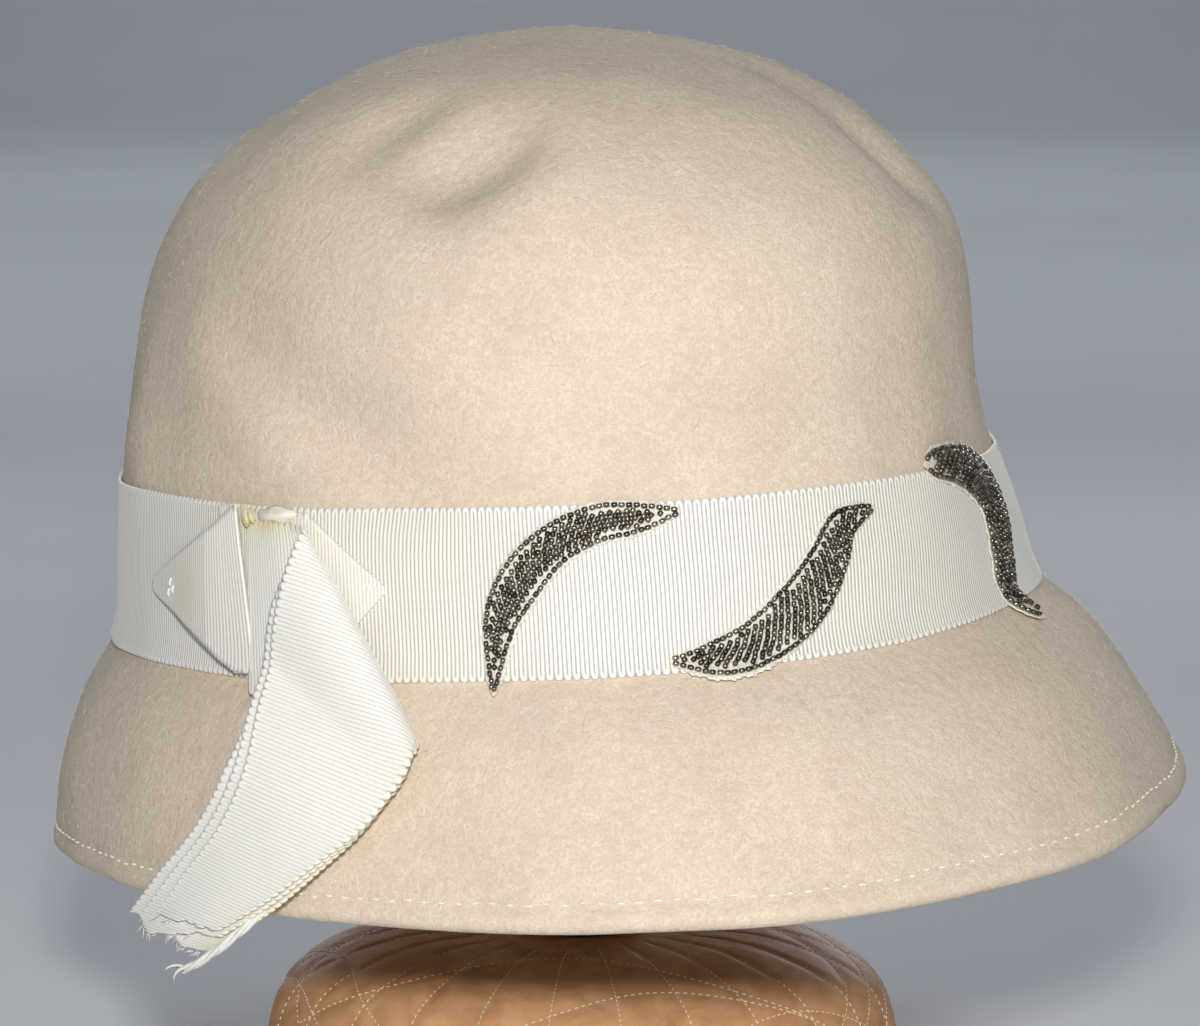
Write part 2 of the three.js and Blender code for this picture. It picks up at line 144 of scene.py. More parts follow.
# Distance along the spine from one string of beads to the next
LEAF_STRING_GAPS = {"front": 1.5, "middle": 1.75, "side": 1.9}
# How far the two border rows and the strings keep from a leaf's edge, and the strings from its tips
BORDER_INSET = 0.5
FILL_INSET = 1.3
FILL_TIP_GAP = 2.5
# Height of the border rows over the net, and how much higher the strings lie at the spine
BEAD_LIFT = 0.62
LEAF_CROWN = 0.5
# Outline of half a bead through its axis, as shares of its length and width, and the sides it is turned with
BEAD_OUTLINE = np.array([(-0.5, 0.24), (-0.43, 0.43), (0.0, 0.5), (0.43, 0.43), (0.5, 0.24)])
BEAD_SIDES = 8

# Flat pieces of the bow. Columns: distance round the band, lower and upper edge, lift off the felt, and
# slant, which is how far a section leans over for each millimetre of height.
BOW_LOOP = np.array([
    (-144.7, 15.4, 16.8, 1.2, 0.0),
    (-142.5, 14.4, 18.2, 1.5, 0.0),
    (-133.0, 12.1, 21.7, 2.6, 0.0),
    (-124.3, 8.9, 25.3, 3.8, 0.0),
    (-118.5, 6.1, 27.9, 4.5, 0.01),
    (-115.0, 3.3, 29.6, 4.4, 0.04),
    (-112.0, 1.0, 31.3, 4.2, 0.08),
    (-109.7, 0.4, 32.4, 4.1, 0.12),
    (-108.0, 0.6, 33.0, 4.0, 0.14),
])
BOW_TAB = np.array([
    (-112.0, 2.0, 32.4, 1.22, 0.0),
    (-94.5, 1.8, 31.9, 1.22, 0.0),
    (-78.2, 16.4, 19.2, 1.22, 0.0),
    (-77.3, 17.3, 18.3, 1.22, 0.0),
])
LOOP_ROLL_RADIUS = 0.25
LOOP_UNDERLAP = 5.0
# Where the loop's and the tab's edges are cut or folded and have no selvage: before and after these distances
LOOP_RAW_BEFORE = -110.0
TAB_RAW_AFTER = -93.0
# Yellowed spot on the loop: distance round the band, height, their spreads, strength
LOOP_STAIN = (-126.5, 15.5, 4.0, 6.0, 0.5)
# Tack stitches of the bow. Columns: distance round the band, height, lift.
TACK_SPOTS = np.array([(-133.5, 17.4, 2.85), (-132.2, 16.2, 3.0), (-134.4, 15.4, 2.75), (-80.4, 18.4, 1.45)])

# Above the bow's knot. Glue: distance round the band, height, their half sizes, lift, thickness.
# Columns of the scrap of thread: distance round the band, lower and upper end, lift.
KNOT_GLUE = (-101.8, 31.0, 4.8, 2.1, 1.4, 1.6)
KNOT_SCRAP = np.array([(-107.9, 28.8, 33.2, 3.0), (-106.9, 29.2, 32.8, 3.5), (-105.9, 29.6, 32.2, 3.1)])

# Sections of the ribbon that comes out from under the loop, folds on the slant and hangs down as the tail.
# Columns: degrees, height and lift of the edge that ends up left, then of the edge that ends up right.
TAIL_SECTIONS = np.array([
    (-68.0, 29.8, 1.9, -66.5, -2.0, 2.0),
    (-63.2, 29.4, 3.7, -58.0, -4.5, 2.5),
    (-59.8, 29.0, 4.3, -47.8, -8.2, 1.5),
    (-57.7, 28.2, 5.8, -44.9, -9.2, 2.4),
    (-57.6, 25.6, 8.4, -44.4, -11.2, 4.6),
    (-58.6, 18.5, 10.2, -44.3, -13.6, 6.0),
    (-59.8, 7.5, 10.8, -44.9, -16.4, 6.5),
    (-60.0, -5.5, 10.6, -46.3, -19.6, 6.5),
    (-60.8, -16.5, 9.4, -49.2, -25.2, 6.4),
    (-63.8, -26.0, 7.8, -53.6, -31.2, 6.5),
    (-68.6, -35.8, 7.1, -59.0, -38.8, 7.0),
    (-72.1, -44.1, 7.0, -65.2, -46.8, 8.0),
])
TAIL_END_ROW = len(TAIL_SECTIONS) - 1
# Row of the slanting fold, the run that the right edge gains up to it, and how that gain grows
TAIL_FOLD_ROW = 3.0
FOLD_RUN = 29.0
FOLD_POWER = 1.5
# How far each further layer lies from the one above it. Columns: row, then the same six as above.
LAYER_STEPS = np.array([
    (4.0, -1.0, 0.0, -1.3, -0.9, 0.0, -1.2),
    (7.0, -1.5, 0.0, -1.3, -0.6, 0.0, -1.1),
    (9.0, -2.1, -0.2, -1.2, -0.1, -0.3, -1.0),
    (11.0, -2.55, -0.5, -1.2, 0.3, -0.6, -1.0),
])
# Which of the six are places on the felt, which a layer takes up as it comes out, and not lifts
LAYER_PLACES = [True, True, False, True, True, False]
# Rows over which a layer comes out from under the one above it
SHOWN_ROWS = 1.2
# Layers of the tail: piece, node, first row, and how far its cut end reaches at five places across it
TAIL_LAYERS = [
    ("ribbon_tail", "bow_tail", 0.0, (0.0, 0.2, -0.8, -1.2, -1.6)),
    ("ribbon_tail_middle", "tail_middle", 4.2, (1.8, 4.6, 3.6, 0.2, -0.6)),
    ("ribbon_tail_under", "tail_under", 6.8, (0.6, -0.6, 1.5, 5.0, 4.2)),
]
# Points along each rib of a ribbon
RIB_STEPS = 4
# Weft loops at the ribbon's edges: their reach, how much fuller they are than a rib, the depth of painted
# shade between them, and how far in they pull the cloth to and fro
SELVAGE_REACH = 0.9
LOOP_FULLNESS = 0.1
LOOP_GAP_SHADE = 1.1
LOOP_PULL = 0.6
# Thickness left at the very edge as a share, and the distance over which the full thickness is reached
EDGE_THICKNESS = 0.35
EDGE_TAPER = 0.25
# Distance from an edge that a cut or folded edge counts as, past the reach of the loops
RAW_EDGE = 1.0
# Yellowing of each ribbon apart from its spots, and the waves of the band's. Columns: height, waves in one
# turn, phase.
BAND_AGE = 0.10
BAND_AGE_WAVES = ((0.08, 5, 0),)
LOOP_AGE = 0.10
TAB_AGE = 0.16
TAIL_AGE = 0.06
# Painted shade in the grooves between the ribs, and on the loop's edge where it rolls under
BAND_GROOVE_SHADE = 1.25
LOOP_GROOVE_SHADE = 1.1
ROLL_SHADE = 3.0
TAB_GROOVE_SHADE = 0.6
TAIL_GROOVE_SHADE = 0.6
# Twisted wisp off the lowest layer's right edge. Columns: degrees, height, lift.
WISP = np.array([(-59.0, -37.6, 4.6), (-63.0, -46.0, 6.2), (-67.6, -53.3, 7.0), (-70.6, -56.0, 7.0)])

# Stand: sizes, the side of the base as shares of its radius and height, and the outline of the post
BASE_RADIUS = 63.0
BASE_HEIGHT = 37.0
BASE_SIDE = np.array([
    (0.825, 0.0), (0.965, 0.2), (1.0, 0.48), (0.9, 0.8), (0.62, 0.98), (0.35, 1.01), (0.22, 1.0),
])
POST_SEAT = BASE_HEIGHT + 0.3
POST_FOOT = np.array([(12.0, 0.0), (13.2, 1.0), (13.5, 3.0), (12.6, 5.2), (11.0, 7.0)])
CAP_RIM = 206.0
CAP_FLARE = np.array([(11.0, -21.0), (16.0, -11.0), (36.5, -5.0), (38.0, -1.0)])
CAP_RADIUS = 38.0
CAP_TOP = 213.8
# Quilting of the base's cover: straight lines up its side, the angle of the first, and rings of arcs.
# Columns of the rings: share of the side where the arcs start, their rise, arcs in one turn, shift.
RADIAL_LINES = 26
RADIAL_SHIFT = 0.06
SCALLOP_RINGS = ((0.40, 0.33, 3, 0.0), (0.36, 0.22, 4, 0.1), (0.34, 0.14, 6, 0.2))

# Ribbon stack off the felt: under face of the band, middle of the bead net
BAND_LIFT = 0.25
NET_LIFT = 1.15
# Waves of the band's height round the hat. Columns: height, waves in one turn, phase.
BAND_SLACK = ((0.25, 3, 1), (0.2, 7, 0))
# The band's ribs lean over on the right: radians for each millimetre of height, and place and spread of this
# in degrees
BAND_SKEW = 0.0024
BAND_SKEW_PLACE = (28.0, 38.0)
# The band sags on the right. Columns: degrees from the front, drop of its lower edge, drop of its upper edge.
BAND_SAG = np.array([
    (-180, 0.0, 0.0),
    (-70, 0.0, 0.0),
    (-45, 0.1, 0.4),
    (-20, 0.6, 1.8),
    (0, 1.4, 3.0),
    (15, 1.7, 4.0),
    (30, 0.7, 4.4),
    (65, -1.2, 4.4),
    (110, -0.6, 2.0),
    (150, 0.0, 0.0),
    (180, 0.0, 0.0),
])
# Thickness of the net under a leaf
NET_THICKNESS = 0.16

# Camera and light
CAMERA_YAW_DEG = 25.0
CAMERA_DISTANCE = 1100.0
CAMERA_HEIGHT = 258.0
CAMERA_ASIDE = 3.6
TARGET_HEIGHT = 120.5
CAMERA_LENS = 167.1
SENSOR_WIDTH = 36.0
FLOOR_MIDDLE = 200.0
FLOOR_RADIUS = 3600.0
FLOOR_SIDES = 96
COVE_RADIUS = 900.0
SURROUND_HUE = "#b4c4d8"
SURROUND_STRENGTH = 0.09
# Lamps: place and target, each by the distance towards the camera, to its right and up, then width, power,
# hue, and the spread of the light in degrees
PART_MIDDLE = (0, 0, TARGET_HEIGHT)
LAMPS = {
    "key": ((1100, 10, 400), PART_MIDDLE, 80, 9.9, "#fffdfa", 180),
    "fill_right": ((900, 700, 450), PART_MIDDLE, 400, 0.09, "#f6f8ff", 50),
    "fill_left": ((900, -700, 300), PART_MIDDLE, 400, 0.06, "#f6f8ff", 50),
    "top": ((10, 0, 1500), PART_MIDDLE, 600, 0.16, "#f4f7ff", 40),
    "back_right": ((-1400, 420, 420), PART_MIDDLE, 500, 0.55, "#f4f7ff", 50),
    "back_left": ((-1400, -420, 420), PART_MIDDLE, 500, 0.45, "#f4f7ff", 50),
    "backdrop": ((-1940, 0, 1900), (-1950, 0, 0), 2600, 7.4, "#f6f9ff", 76),
    "cove": ((-2600, 0, 1500), (-4300, 0, 300), 1500, 2.8, "#f6f9ff", 90),
}


def linear(code):
    """Linear colour of an sRGB hex value."""
    parts = np.array([int(code[i:i + 2], 16) / 255 for i in (1, 3, 5)])
    return tuple(np.where(parts <= 0.04045, parts / 12.92, ((parts + 0.055) / 1.055) ** 2.4))


def length(name, description, millimetres):
    """A length property with its default in millimetres."""
    return bpy.props.FloatProperty(name=name, description=description, default=millimetres * MM, min=0.0,
                                   precision=5, subtype="DISTANCE", unit="LENGTH")


def colour(name, description, code):
    """A colour property with its default as an sRGB hex value."""
    return bpy.props.FloatVectorProperty(name=name, description=description, default=linear(code), size=3,
                                         min=0.0, max=1.0, subtype="COLOR")


class HatSizes(bpy.types.PropertyGroup):
    """Sizes of the hat's cloth, thread and beads."""
    felt_wall: length("Felt wall", "Thickness of the felt", 2.2)
    hem_wall: length("Hem", "Thickness of the brim's edge, with its turned-under hem", 3.8)
    hem_stitch: length("Hem stitch", "Length of one stitch of the brim's topstitching", 1.8)
    hem_pitch: length("Hem stitch pitch", "Distance from one hem stitch to the next", 3.4)
    nap: length("Nap", "Length of the felt's loose fibres", 1.1)
    ribbon: length("Ribbon", "Thickness of the ribbon between its ribs", 0.35)
    rib_pitch: length("Rib pitch", "Distance from one rib of the ribbon to the next", 0.8)
    rib_height: length("Rib height", "Height of a rib over the groove beside it", 0.14)
    scallop: length("Selvage loop", "Reach of the weft loops at the ribbon's edges", 0.42)
    border_bead: length("Border bead", "Length of a bead in the rows round a leaf", 1.17)
    fill_bead: length("Fill bead", "Length of a bead in the strings across a leaf", 1.0)
    bead_width: length("Bead width", "Diameter of the beads", 1.05)
    base_quilting: length("Quilting", "Depth of the stitched lines of the base's cover", 0.35)


class HatColours(bpy.types.PropertyGroup):
    """Colours of the hat and its stand."""
    felt: colour("Felt", "Wool felt", "#ecdecb")
    felt_shade: colour("Felt shade", "Hollows between the felt's fibres", "#d9c8b0")
    # Darker felt for the faint blotches and for the speckles at the felt's darker spots
    felt_darker: colour("Felt soil", "Handling marks on the felt", "#b9aa9a")
    hair: colour("Hair", "Dark stray hairs in the felt", "#6b5d4c")
    hem_thread: colour("Hem thread", "Topstitching of the brim", "#fdf3e4")
    ribbon: colour("Ribbon", "Ivory ribbon", "#f6f5f0")
    # Painted shade between the ribbon's ribs and in the net's holes
    groove_shade: colour("Ribbon groove", "Between the ribbon's ribs", "#a09c95")
    ribbon_aged: colour("Aged ribbon", "Yellowed ribbon and glue", "#e5d6a8")
    bead_dark: colour("Dark bead", "Darkest beads", "#3d352c")
    bead_light: colour("Light bead", "Lightest beads", "#b9ae9a")
    net: colour("Net", "Net and thread under the beads", "#f2eee2")
    wood: colour("Wood", "Varnished post", "#7a4526")
    wood_dark: colour("Dark wood", "Grain of the post", "#4c2814")
    satin: colour("Satin", "Cover of the base", "#d0a077")
    satin_shade: colour("Satin shade", "Darker threads of the cover", "#ab7c52")
    thread: colour("Thread", "Stitching of the base", "#f1e4cb")
    floor: colour("Floor", "Pale floor", "#dfe1e3")
    # Painted light: the far floor is lighter to stand in for light reaching it
    far_floor_light: colour("Far floor", "Floor away from the part", "#eef1f4")


def size(name):
    """A size property in millimetres."""
    return getattr(bpy.context.scene.hat_sizes, name) / MM


def tint(name):
    """A colour property as linear red, green, blue and full cover."""
    return (*getattr(bpy.context.scene.hat_colours, name), 1.0)


# Formulas of the hat's surface

def unit(vectors):
    """Vectors of length one."""
    return vectors / np.maximum(np.linalg.norm(vectors, axis=-1, keepdims=True), 1e-12)


def run_length(points):
    """Distance along a line of points from its first point to each."""
    return np.append(0, np.cumsum(np.linalg.norm(np.diff(points, axis=0), axis=1)))


def waver(steady, waves, at):
    """A steady value with sine waves on it. Each wave has its height, its rate and its phase."""
    return sum((height * np.sin(rate * at + phase) for height, rate, phase in waves), start=steady)


def smooth_rows(table, position):
    """Cubic through the rows of a table: each stretch has its two rows' values, and slopes taken from their
    neighbours. Past either end it runs on in a straight line."""
    slopes = np.gradient(table, axis=0)
    position = np.asarray(position, float)
    inside = np.clip(position, 0, len(table) - 1)
    row = np.minimum(inside.astype(int), len(table) - 2)
    t = (inside - row)[..., None]
    found = table[row] * (1 + 2 * t) * (1 - t) ** 2 + table[row + 1] * t ** 2 * (3 - 2 * t)
    found += slopes[row] * t * (1 - t) ** 2 + slopes[row + 1] * t ** 2 * (t - 1)
    past = (position - inside)[..., None]
    return found + past * np.where(past < 0, slopes[0], slopes[-1])


def wave_set():
    """Directions, heights and phases of the felt's long waves, from a fixed seed."""
    draw = np.random.default_rng(SEEDS["waves"])
    count = len(FELT_WAVES) * WAVE_WAYS
    ways = unit(draw.normal(size=(count, 3)))
    waves = np.repeat(FELT_WAVES, WAVE_WAYS, axis=0)
    return ways * (2 * np.pi / waves[:, :1]), waves[:, 1], draw.uniform(0, 2 * np.pi, count)


WAVE_VECTORS, WAVE_HEIGHTS, WAVE_PHASES = wave_set()


def bells(table, angle, z):
    """Sum of bell-shaped spots on the felt: strength times e to the minus squared distance, by degrees aside
    and by height."""
    aside = (np.degrees(angle)[..., None] - table[:, 0]) / table[:, 2]
    up = (z[..., None] - table[:, 1]) / table[:, 3]
    return (table[:, 4] * np.exp(-aside ** 2 - up ** 2)).sum(-1)


def oval_point(row, angle):
    """Felt before it is dented. Each quarter of a section is a quarter ellipse, and the brim's edge rises at
    the sides with the square of the sine."""
    row, angle = np.broadcast_arrays(np.asarray(row, float), np.asarray(angle, float))
    z, left, right, front, back = np.moveaxis(smooth_rows(FELT_SECTIONS, row), -1, 0)
    side = np.where(np.sin(angle) > 0, right, left)
    fore = np.where(np.cos(angle) > 0, front, back)
    rise = EDGE_RISE * np.clip(1 - row / BAND_LOW_ROW, 0, None) ** 2 * np.sin(angle) ** 2
    return np.stack([side * np.sin(angle), -fore * np.cos(angle), z + rise], -1)


LOOKUP_ROWS = np.linspace(-3, TOP_ROW, 4001)
LOOKUP_HEIGHTS = smooth_rows(FELT_SECTIONS, LOOKUP_ROWS)[:, 0]


def row_at_height(z):
    """Row of the felt's table at a height."""
    return np.interp(z, LOOKUP_HEIGHTS, LOOKUP_ROWS)


def pressed(points):
    """Shift of points by the pressed lines: against the felt's normal at a line's middle, by its depth times
    a bell across it, bent at its ends, that fades past both ends and through the hat."""
    step = 0.01
    most_bend = 2
    shift = np.zeros_like(points)
    for from_deg, from_z, to_deg, to_z, bend, right, left, depth in PRESSED_LINES:
        row = row_at_height(np.array([from_z, to_z]))
        angle = np.radians([from_deg, to_deg])
        ends = oval_point(row, angle)
        middle = oval_point(row.mean() + np.array([0, step, 0]), angle.mean() + np.array([0, 0, step]))
        normal = unit(np.cross(middle[2] - middle[0], middle[1] - middle[0]))
        way = unit(ends[1] - ends[0])
        half = np.linalg.norm(ends[1] - ends[0]) / 2
        away = points - ends.mean(axis=0)
        along = away @ way / half
        aside = away @ unit(np.cross(normal, way)) - bend * np.minimum(along ** 2, most_bend)
        aside = aside / np.where(aside > 0, left, right)
        fade = 1 + np.exp(-(away @ normal + PRESS_REACH) / PRESS_FADE)
        bell = np.exp(-np.abs(along) ** 3 - aside ** 2) / fade
        shift -= depth * bell[..., None] * normal
    return shift


def felt_point(row, angle):
    """Outer face of the felt: the oval with its pressed lines, and long sine waves towards the middle."""
    to_middle = [-1, -1, -0.5]
    point = oval_point(row, angle)
    wave = np.sin(point @ WAVE_VECTORS.T + WAVE_PHASES) @ WAVE_HEIGHTS
    return point + pressed(point) + unit(point * to_middle) * wave[..., None]


def felt_frame(row, angle):
    """Point, outward normal, direction down the profile and direction round the hat, by small steps."""
    step = 1e-3
    here = felt_point(row, angle)
    round_it = unit(felt_point(row, angle + step) - felt_point(row, angle - step))
    down = unit(felt_point(row - step, angle) - felt_point(row + step, angle))
    return here, unit(np.cross(down, round_it)), down, round_it


def off_felt(row, angle, lift):
    """Point at a distance off the felt along its normal."""
    here, normal, _, _ = felt_frame(np.asarray(row, float), np.asarray(angle, float))
    return here + normal * np.asarray(lift, float)[..., None]


def off_felt_evenly(row, angle, lift):
    """Point at a distance off the felt along its normal, evened out between the normals above and below."""
    even_rows = 1.5
    here, normal, _, _ = felt_frame(row, angle)
    _, above, _, _ = felt_frame(row + even_rows, angle)
    _, below, _, _ = felt_frame(row - even_rows, angle)
    return here + unit(normal + above + below) * lift[..., None]


def round_lengths(row, steps=2880):
    """Angles once round the hat from the back, and the distance along a row from its front to each."""
    angles = np.linspace(-np.pi, np.pi, steps + 1)
    lengths = run_length(felt_point(row, angles))
    return angles, lengths - lengths[steps // 2]


BAND_ANGLES, BAND_LENGTHS = round_lengths(row_at_height(MID_BAND_Z))


def band_angle(along):
    """Angle at a distance round the band from its front."""
    return np.interp(along, BAND_LENGTHS, BAND_ANGLES)


def on_part(points):
    """Hat points turned by the lean and moved to their place on the stand: the turn is the axis's share of
    each point kept, the rest turned by cosine and sine."""
    lean = math.radians(HAT_LEAN_DEG)
    heading = math.radians(LEAN_AXIS_DEG)
    axis = np.array([math.sin(heading), -math.cos(heading), 0.0])
    along = (points @ axis)[..., None] * axis
    return along + (points - along) * math.cos(lean) + np.cross(axis, points) * math.sin(lean) + HAT_PLACE


# Meshes from arrays

def grid(rows, columns, loop_rows=False, loop_columns=False):
    """Rows and columns of the four corners of each quad of a grid. In a loop the last quads count on by
    one."""
    r, c = np.meshgrid(np.arange(rows - 1 + loop_rows), np.arange(columns - 1 + loop_columns), indexing="ij")
    return r.reshape(-1, 1) + [[0, 0, 1, 1]], c.reshape(-1, 1) + [[0, 1, 1, 0]]


def skin(rings, first_pole, last_pole):
    """Closed surface through rings of points, drawn together to a pole at either end."""
    n, m = rings.shape[:2]
    r, c = grid(n, m, loop_columns=True)
    k = np.arange(m)
    after = (k + 1) % m
    first = np.stack([after, k, np.full(m, n * m)], -1)
    last = np.stack([k, after, np.full(m, n * m + 1)], -1) + [(n - 1) * m, (n - 1) * m, 0]
    return np.concatenate([rings.reshape(-1, 3), [first_pole, last_pole]]), [r * m + c % m, first, last]


# Corners of a sheet's sides as columns and rows, by the way to the quad that is missing: down and over
SIDE_CORNERS = {
    (-1, 0): ([1, 0], [0, 0]),
    (1, 0): ([0, 1], [1, 1]),
    (0, -1): ([0, 0], [0, 1]),
    (0, 1): ([1, 1], [1, 0]),
}


def thin_sheet(front, back, along, across, turn=None, cut=None):
    """Closed sheet between two faces on one grid. Every quad that is kept has its front and its back, and a
    side where the quad beside it is missing. A sheet with a turn closes on itself after that length, and a
    cut says how many quads each column keeps. Also gives which of the two faces' points are used."""
    n, m = front.shape[:2]
    rows = n if turn else n - 1
    kept = np.ones((rows, m - 1), bool) if cut is None else np.arange(rows)[:, None] < cut
    beside = np.pad(kept, 1)
    if turn:
        beside[0] = beside[-2]
        beside[-1] = beside[1]
    i, j = (a[:, None] for a in np.nonzero(kept))
    front_face = (i + [0, 0, 1, 1], j + [0, 1, 1, 0], [0, 0, 0, 0])
    back_face = (i + [0, 1, 1, 0], j + [0, 0, 1, 1], [1, 1, 1, 1])
    corners = [front_face, back_face]
    for (down, over), (columns, rows_of) in SIDE_CORNERS.items():
        lone = ~beside[i + 1 + down, j + 1 + over][:, 0]
        ends = (i[lone] + rows_of, j[lone] + columns)
        corners.append((*(np.concatenate([e, e[:, ::-1]], axis=1) for e in ends), [0, 0, 1, 1]))
    r, c, face = (
        np.concatenate([np.broadcast_to(part[k], part[0].shape) for part in corners]) for k in range(3)
    )
    used, faces = np.unique(face * n * m + (r % n) * m + c, return_inverse=True)
    maps = np.stack([along[r % n, c] + (r == n) * (turn or 0), across[r % n, c]], -1)
    points = np.concatenate([front.reshape(-1, 3), back.reshape(-1, 3)])[used]
    return points, [faces.reshape(-1, 4)], [maps], used


def both_faces(marks, used):
    """Values of a grid for the points of a thin sheet."""
    return np.tile(marks.ravel(), 2)[used]


def tubes(lines, radius, sides, up):
    """Closed round threads. About each point of each line stands a ring at the radius, in the plane across
    the line's direction, and the two end rings are closed flat."""
    n, k = lines.shape[:2]
    ahead = unit(np.gradient(lines, axis=1))
    aside = unit(np.cross(ahead, up[:, None]))
    upright = np.cross(aside, ahead)
    turn = np.arange(sides) * 2 * np.pi / sides
    reach = np.broadcast_to(radius, (n, k))[:, :, None, None]
    ring = np.cos(turn)[:, None] * aside[:, :, None] + np.sin(turn)[:, None] * upright[:, :, None]
    r, c = grid(k, sides, loop_columns=True)
    start = np.arange(n)[:, None, None] * k * sides
    cap = np.arange(sides)
    faces = [start + r * sides + c % sides, start + cap[None, ::-1], start + cap[None] + (k - 1) * sides]
    return (lines[:, :, None] + reach * ring).reshape(-1, 3), [f.reshape(-1, f.shape[-1]) for f in faces]


def copies(shape, faces, places, axes):
    """Joined copies of a small shape: each point is its copy's place plus its three coordinates along the
    copy's three axes."""
    points = places[:, None] + np.einsum("pa,nab->npb", shape, axes)
    start = np.arange(len(places))[:, None, None] * len(shape)
    return points.reshape(-1, 3), [(start + f).reshape(-1, f.shape[1]) for f in faces]


def joined(*solids):
    """One list of points and faces from several."""
    starts = np.cumsum([0] + [len(points) for points, _ in solids])
    faces = [f + start for (_, parts), start in zip(solids, starts) for f in parts]
    return np.concatenate([points for points, _ in solids]), faces


def add_piece(name, points, faces, material, node=None, maps=None, marks=None):
    """Fills a mesh from points in millimetres and lists of faces, turned outwards if their volume comes out
    negative, and ties it to the part."""
    firsts, seconds, thirds = (np.concatenate([f[:, k] for f in faces]) for k in range(3))
    quads = np.concatenate([f for f in faces if f.shape[1] == 4] or [np.zeros((0, 4), int)])
    volume = np.einsum("ij,ij->", points[firsts], np.cross(points[seconds], points[thirds]))
    volume += np.einsum("ij,ij->", points[quads[:, 0]], np.cross(points[quads[:, 2]], points[quads[:, 3]]))
    order = slice(None, None, -1 if volume < 0 else 1)
    corners = np.concatenate([f[:, order].ravel() for f in faces])
    sides = np.concatenate([np.full(len(f), f.shape[1]) for f in faces])
    mesh = bpy.data.meshes.new(name)
    mesh.vertices.add(len(points))
    mesh.vertices.foreach_set("co", (points * MM).astype(np.float32).ravel())
    mesh.loops.add(len(corners))
    mesh.loops.foreach_set("vertex_index", corners.astype(np.int32))
    mesh.polygons.add(len(sides))
    mesh.polygons.foreach_set("loop_start", np.append(0, np.cumsum(sides)[:-1]).astype(np.int32))
    mesh.polygons.foreach_set("use_smooth", np.ones(len(sides), bool))
    if maps is not None:
        flat = np.concatenate([m[:, order].reshape(-1, 2) for m in maps]).astype(np.float32)
        mesh.uv_layers.new(name="cloth").data.foreach_set("uv", flat.ravel())
    for mark, values in (marks or {}).items():
        mesh.attributes.new(mark, "FLOAT", "POINT").data.foreach_set("value", values.astype(np.float32))
    mesh.update(calc_edges=True)
    mesh.validate()
    mesh.materials.append(material)
    piece = bpy.data.objects.new(name, mesh)
    bpy.context.scene.collection.objects.link(piece)
    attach(piece, "root")
    if node:
        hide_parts(node)
    return piece


# Materials

def wire(tree, node, inputs):
    """Sets each input of a node to a value, or links it to another node's output."""
    for key, value in inputs.items():
        if isinstance(value, bpy.types.NodeSocket):
            tree.links.new(value, node.inputs[key])
        else:
            node.inputs[key].default_value = value


def add_node(tree, kind, inputs, output=0, **settings):
    """Adds a node with its settings and inputs, and gives one of its outputs."""
    node = tree.nodes.new(kind)
    for key, value in settings.items():
        setattr(node, key, value)
    wire(tree, node, inputs)
    return node.outputs[output]


def new_material(name):
    """A new material, its node tree and its shader."""
    made = bpy.data.materials.new(name)
    made.use_nodes = True
    return made, made.node_tree, made.node_tree.nodes["Principled BSDF"]


def per_mm(grain):
    """Scale of a texture whose grains are about so many millimetres wide."""
    return 1 / (grain * MM)


def own_place(tree):
    """Place in the piece's own coordinates."""
    return add_node(tree, "ShaderNodeTexCoord", {}, "Object")


def cloth_place(tree):
    """Place along and across a piece of cloth, in millimetres."""
    return add_node(tree, "ShaderNodeUVMap", {}, "UV", uv_map="cloth")


def stretch(tree, place, scale):
    """Place scaled by its own factor along each axis."""
    return add_node(tree, "ShaderNodeMapping", {"Vector": place, "Scale": scale})


def point_mark(tree, name):
    """Value that a piece carries at its points."""
    return add_node(tree, "ShaderNodeAttribute", {}, "Fac", attribute_name=name)


def noise(tree, place, scale, detail, roughness=0.5, distortion=0.0):
    """Uneven value about one half."""
    grain = {"Scale": scale, "Detail": detail, "Roughness": roughness, "Distortion": distortion}
    return add_node(tree, "ShaderNodeTexNoise", {"Vector": place, **grain})


def ramp(tree, value, low, high, start=0.0, end=1.0, **settings):
    """Run from start to end while a value goes from low to high, held past both."""
    inputs = {"Value": value, 1: low, 2: high, 3: start, 4: end}
    return add_node(tree, "ShaderNodeMapRange", inputs, **settings)


def product(tree, one, other, **settings):
    """Two values multiplied."""
    return add_node(tree, "ShaderNodeMath", {0: one, 1: other}, operation="MULTIPLY", **settings)


def blend(tree, share, one, other, **settings):
    """Colour that goes from one to the other by a share."""
    return add_node(tree, "ShaderNodeMix", {0: share, 6: one, 7: other}, 2, data_type="RGBA", **settings)


def shaded(tree, body, shade):
    """Colour darkened by a shade."""
    return blend(tree, 1.0, body, shade, blend_type="MULTIPLY")


def bumps(tree, height, strength, depth, under=None, **settings):
    """Normal of an uneven surface, so many millimetres deep, on top of another normal if one is given."""
    inputs = {"Height": height, "Strength": strength, "Distance": depth * MM}
    if under is not None:
        inputs["Normal"] = under
    return add_node(tree, "ShaderNodeBump", inputs, **settings)


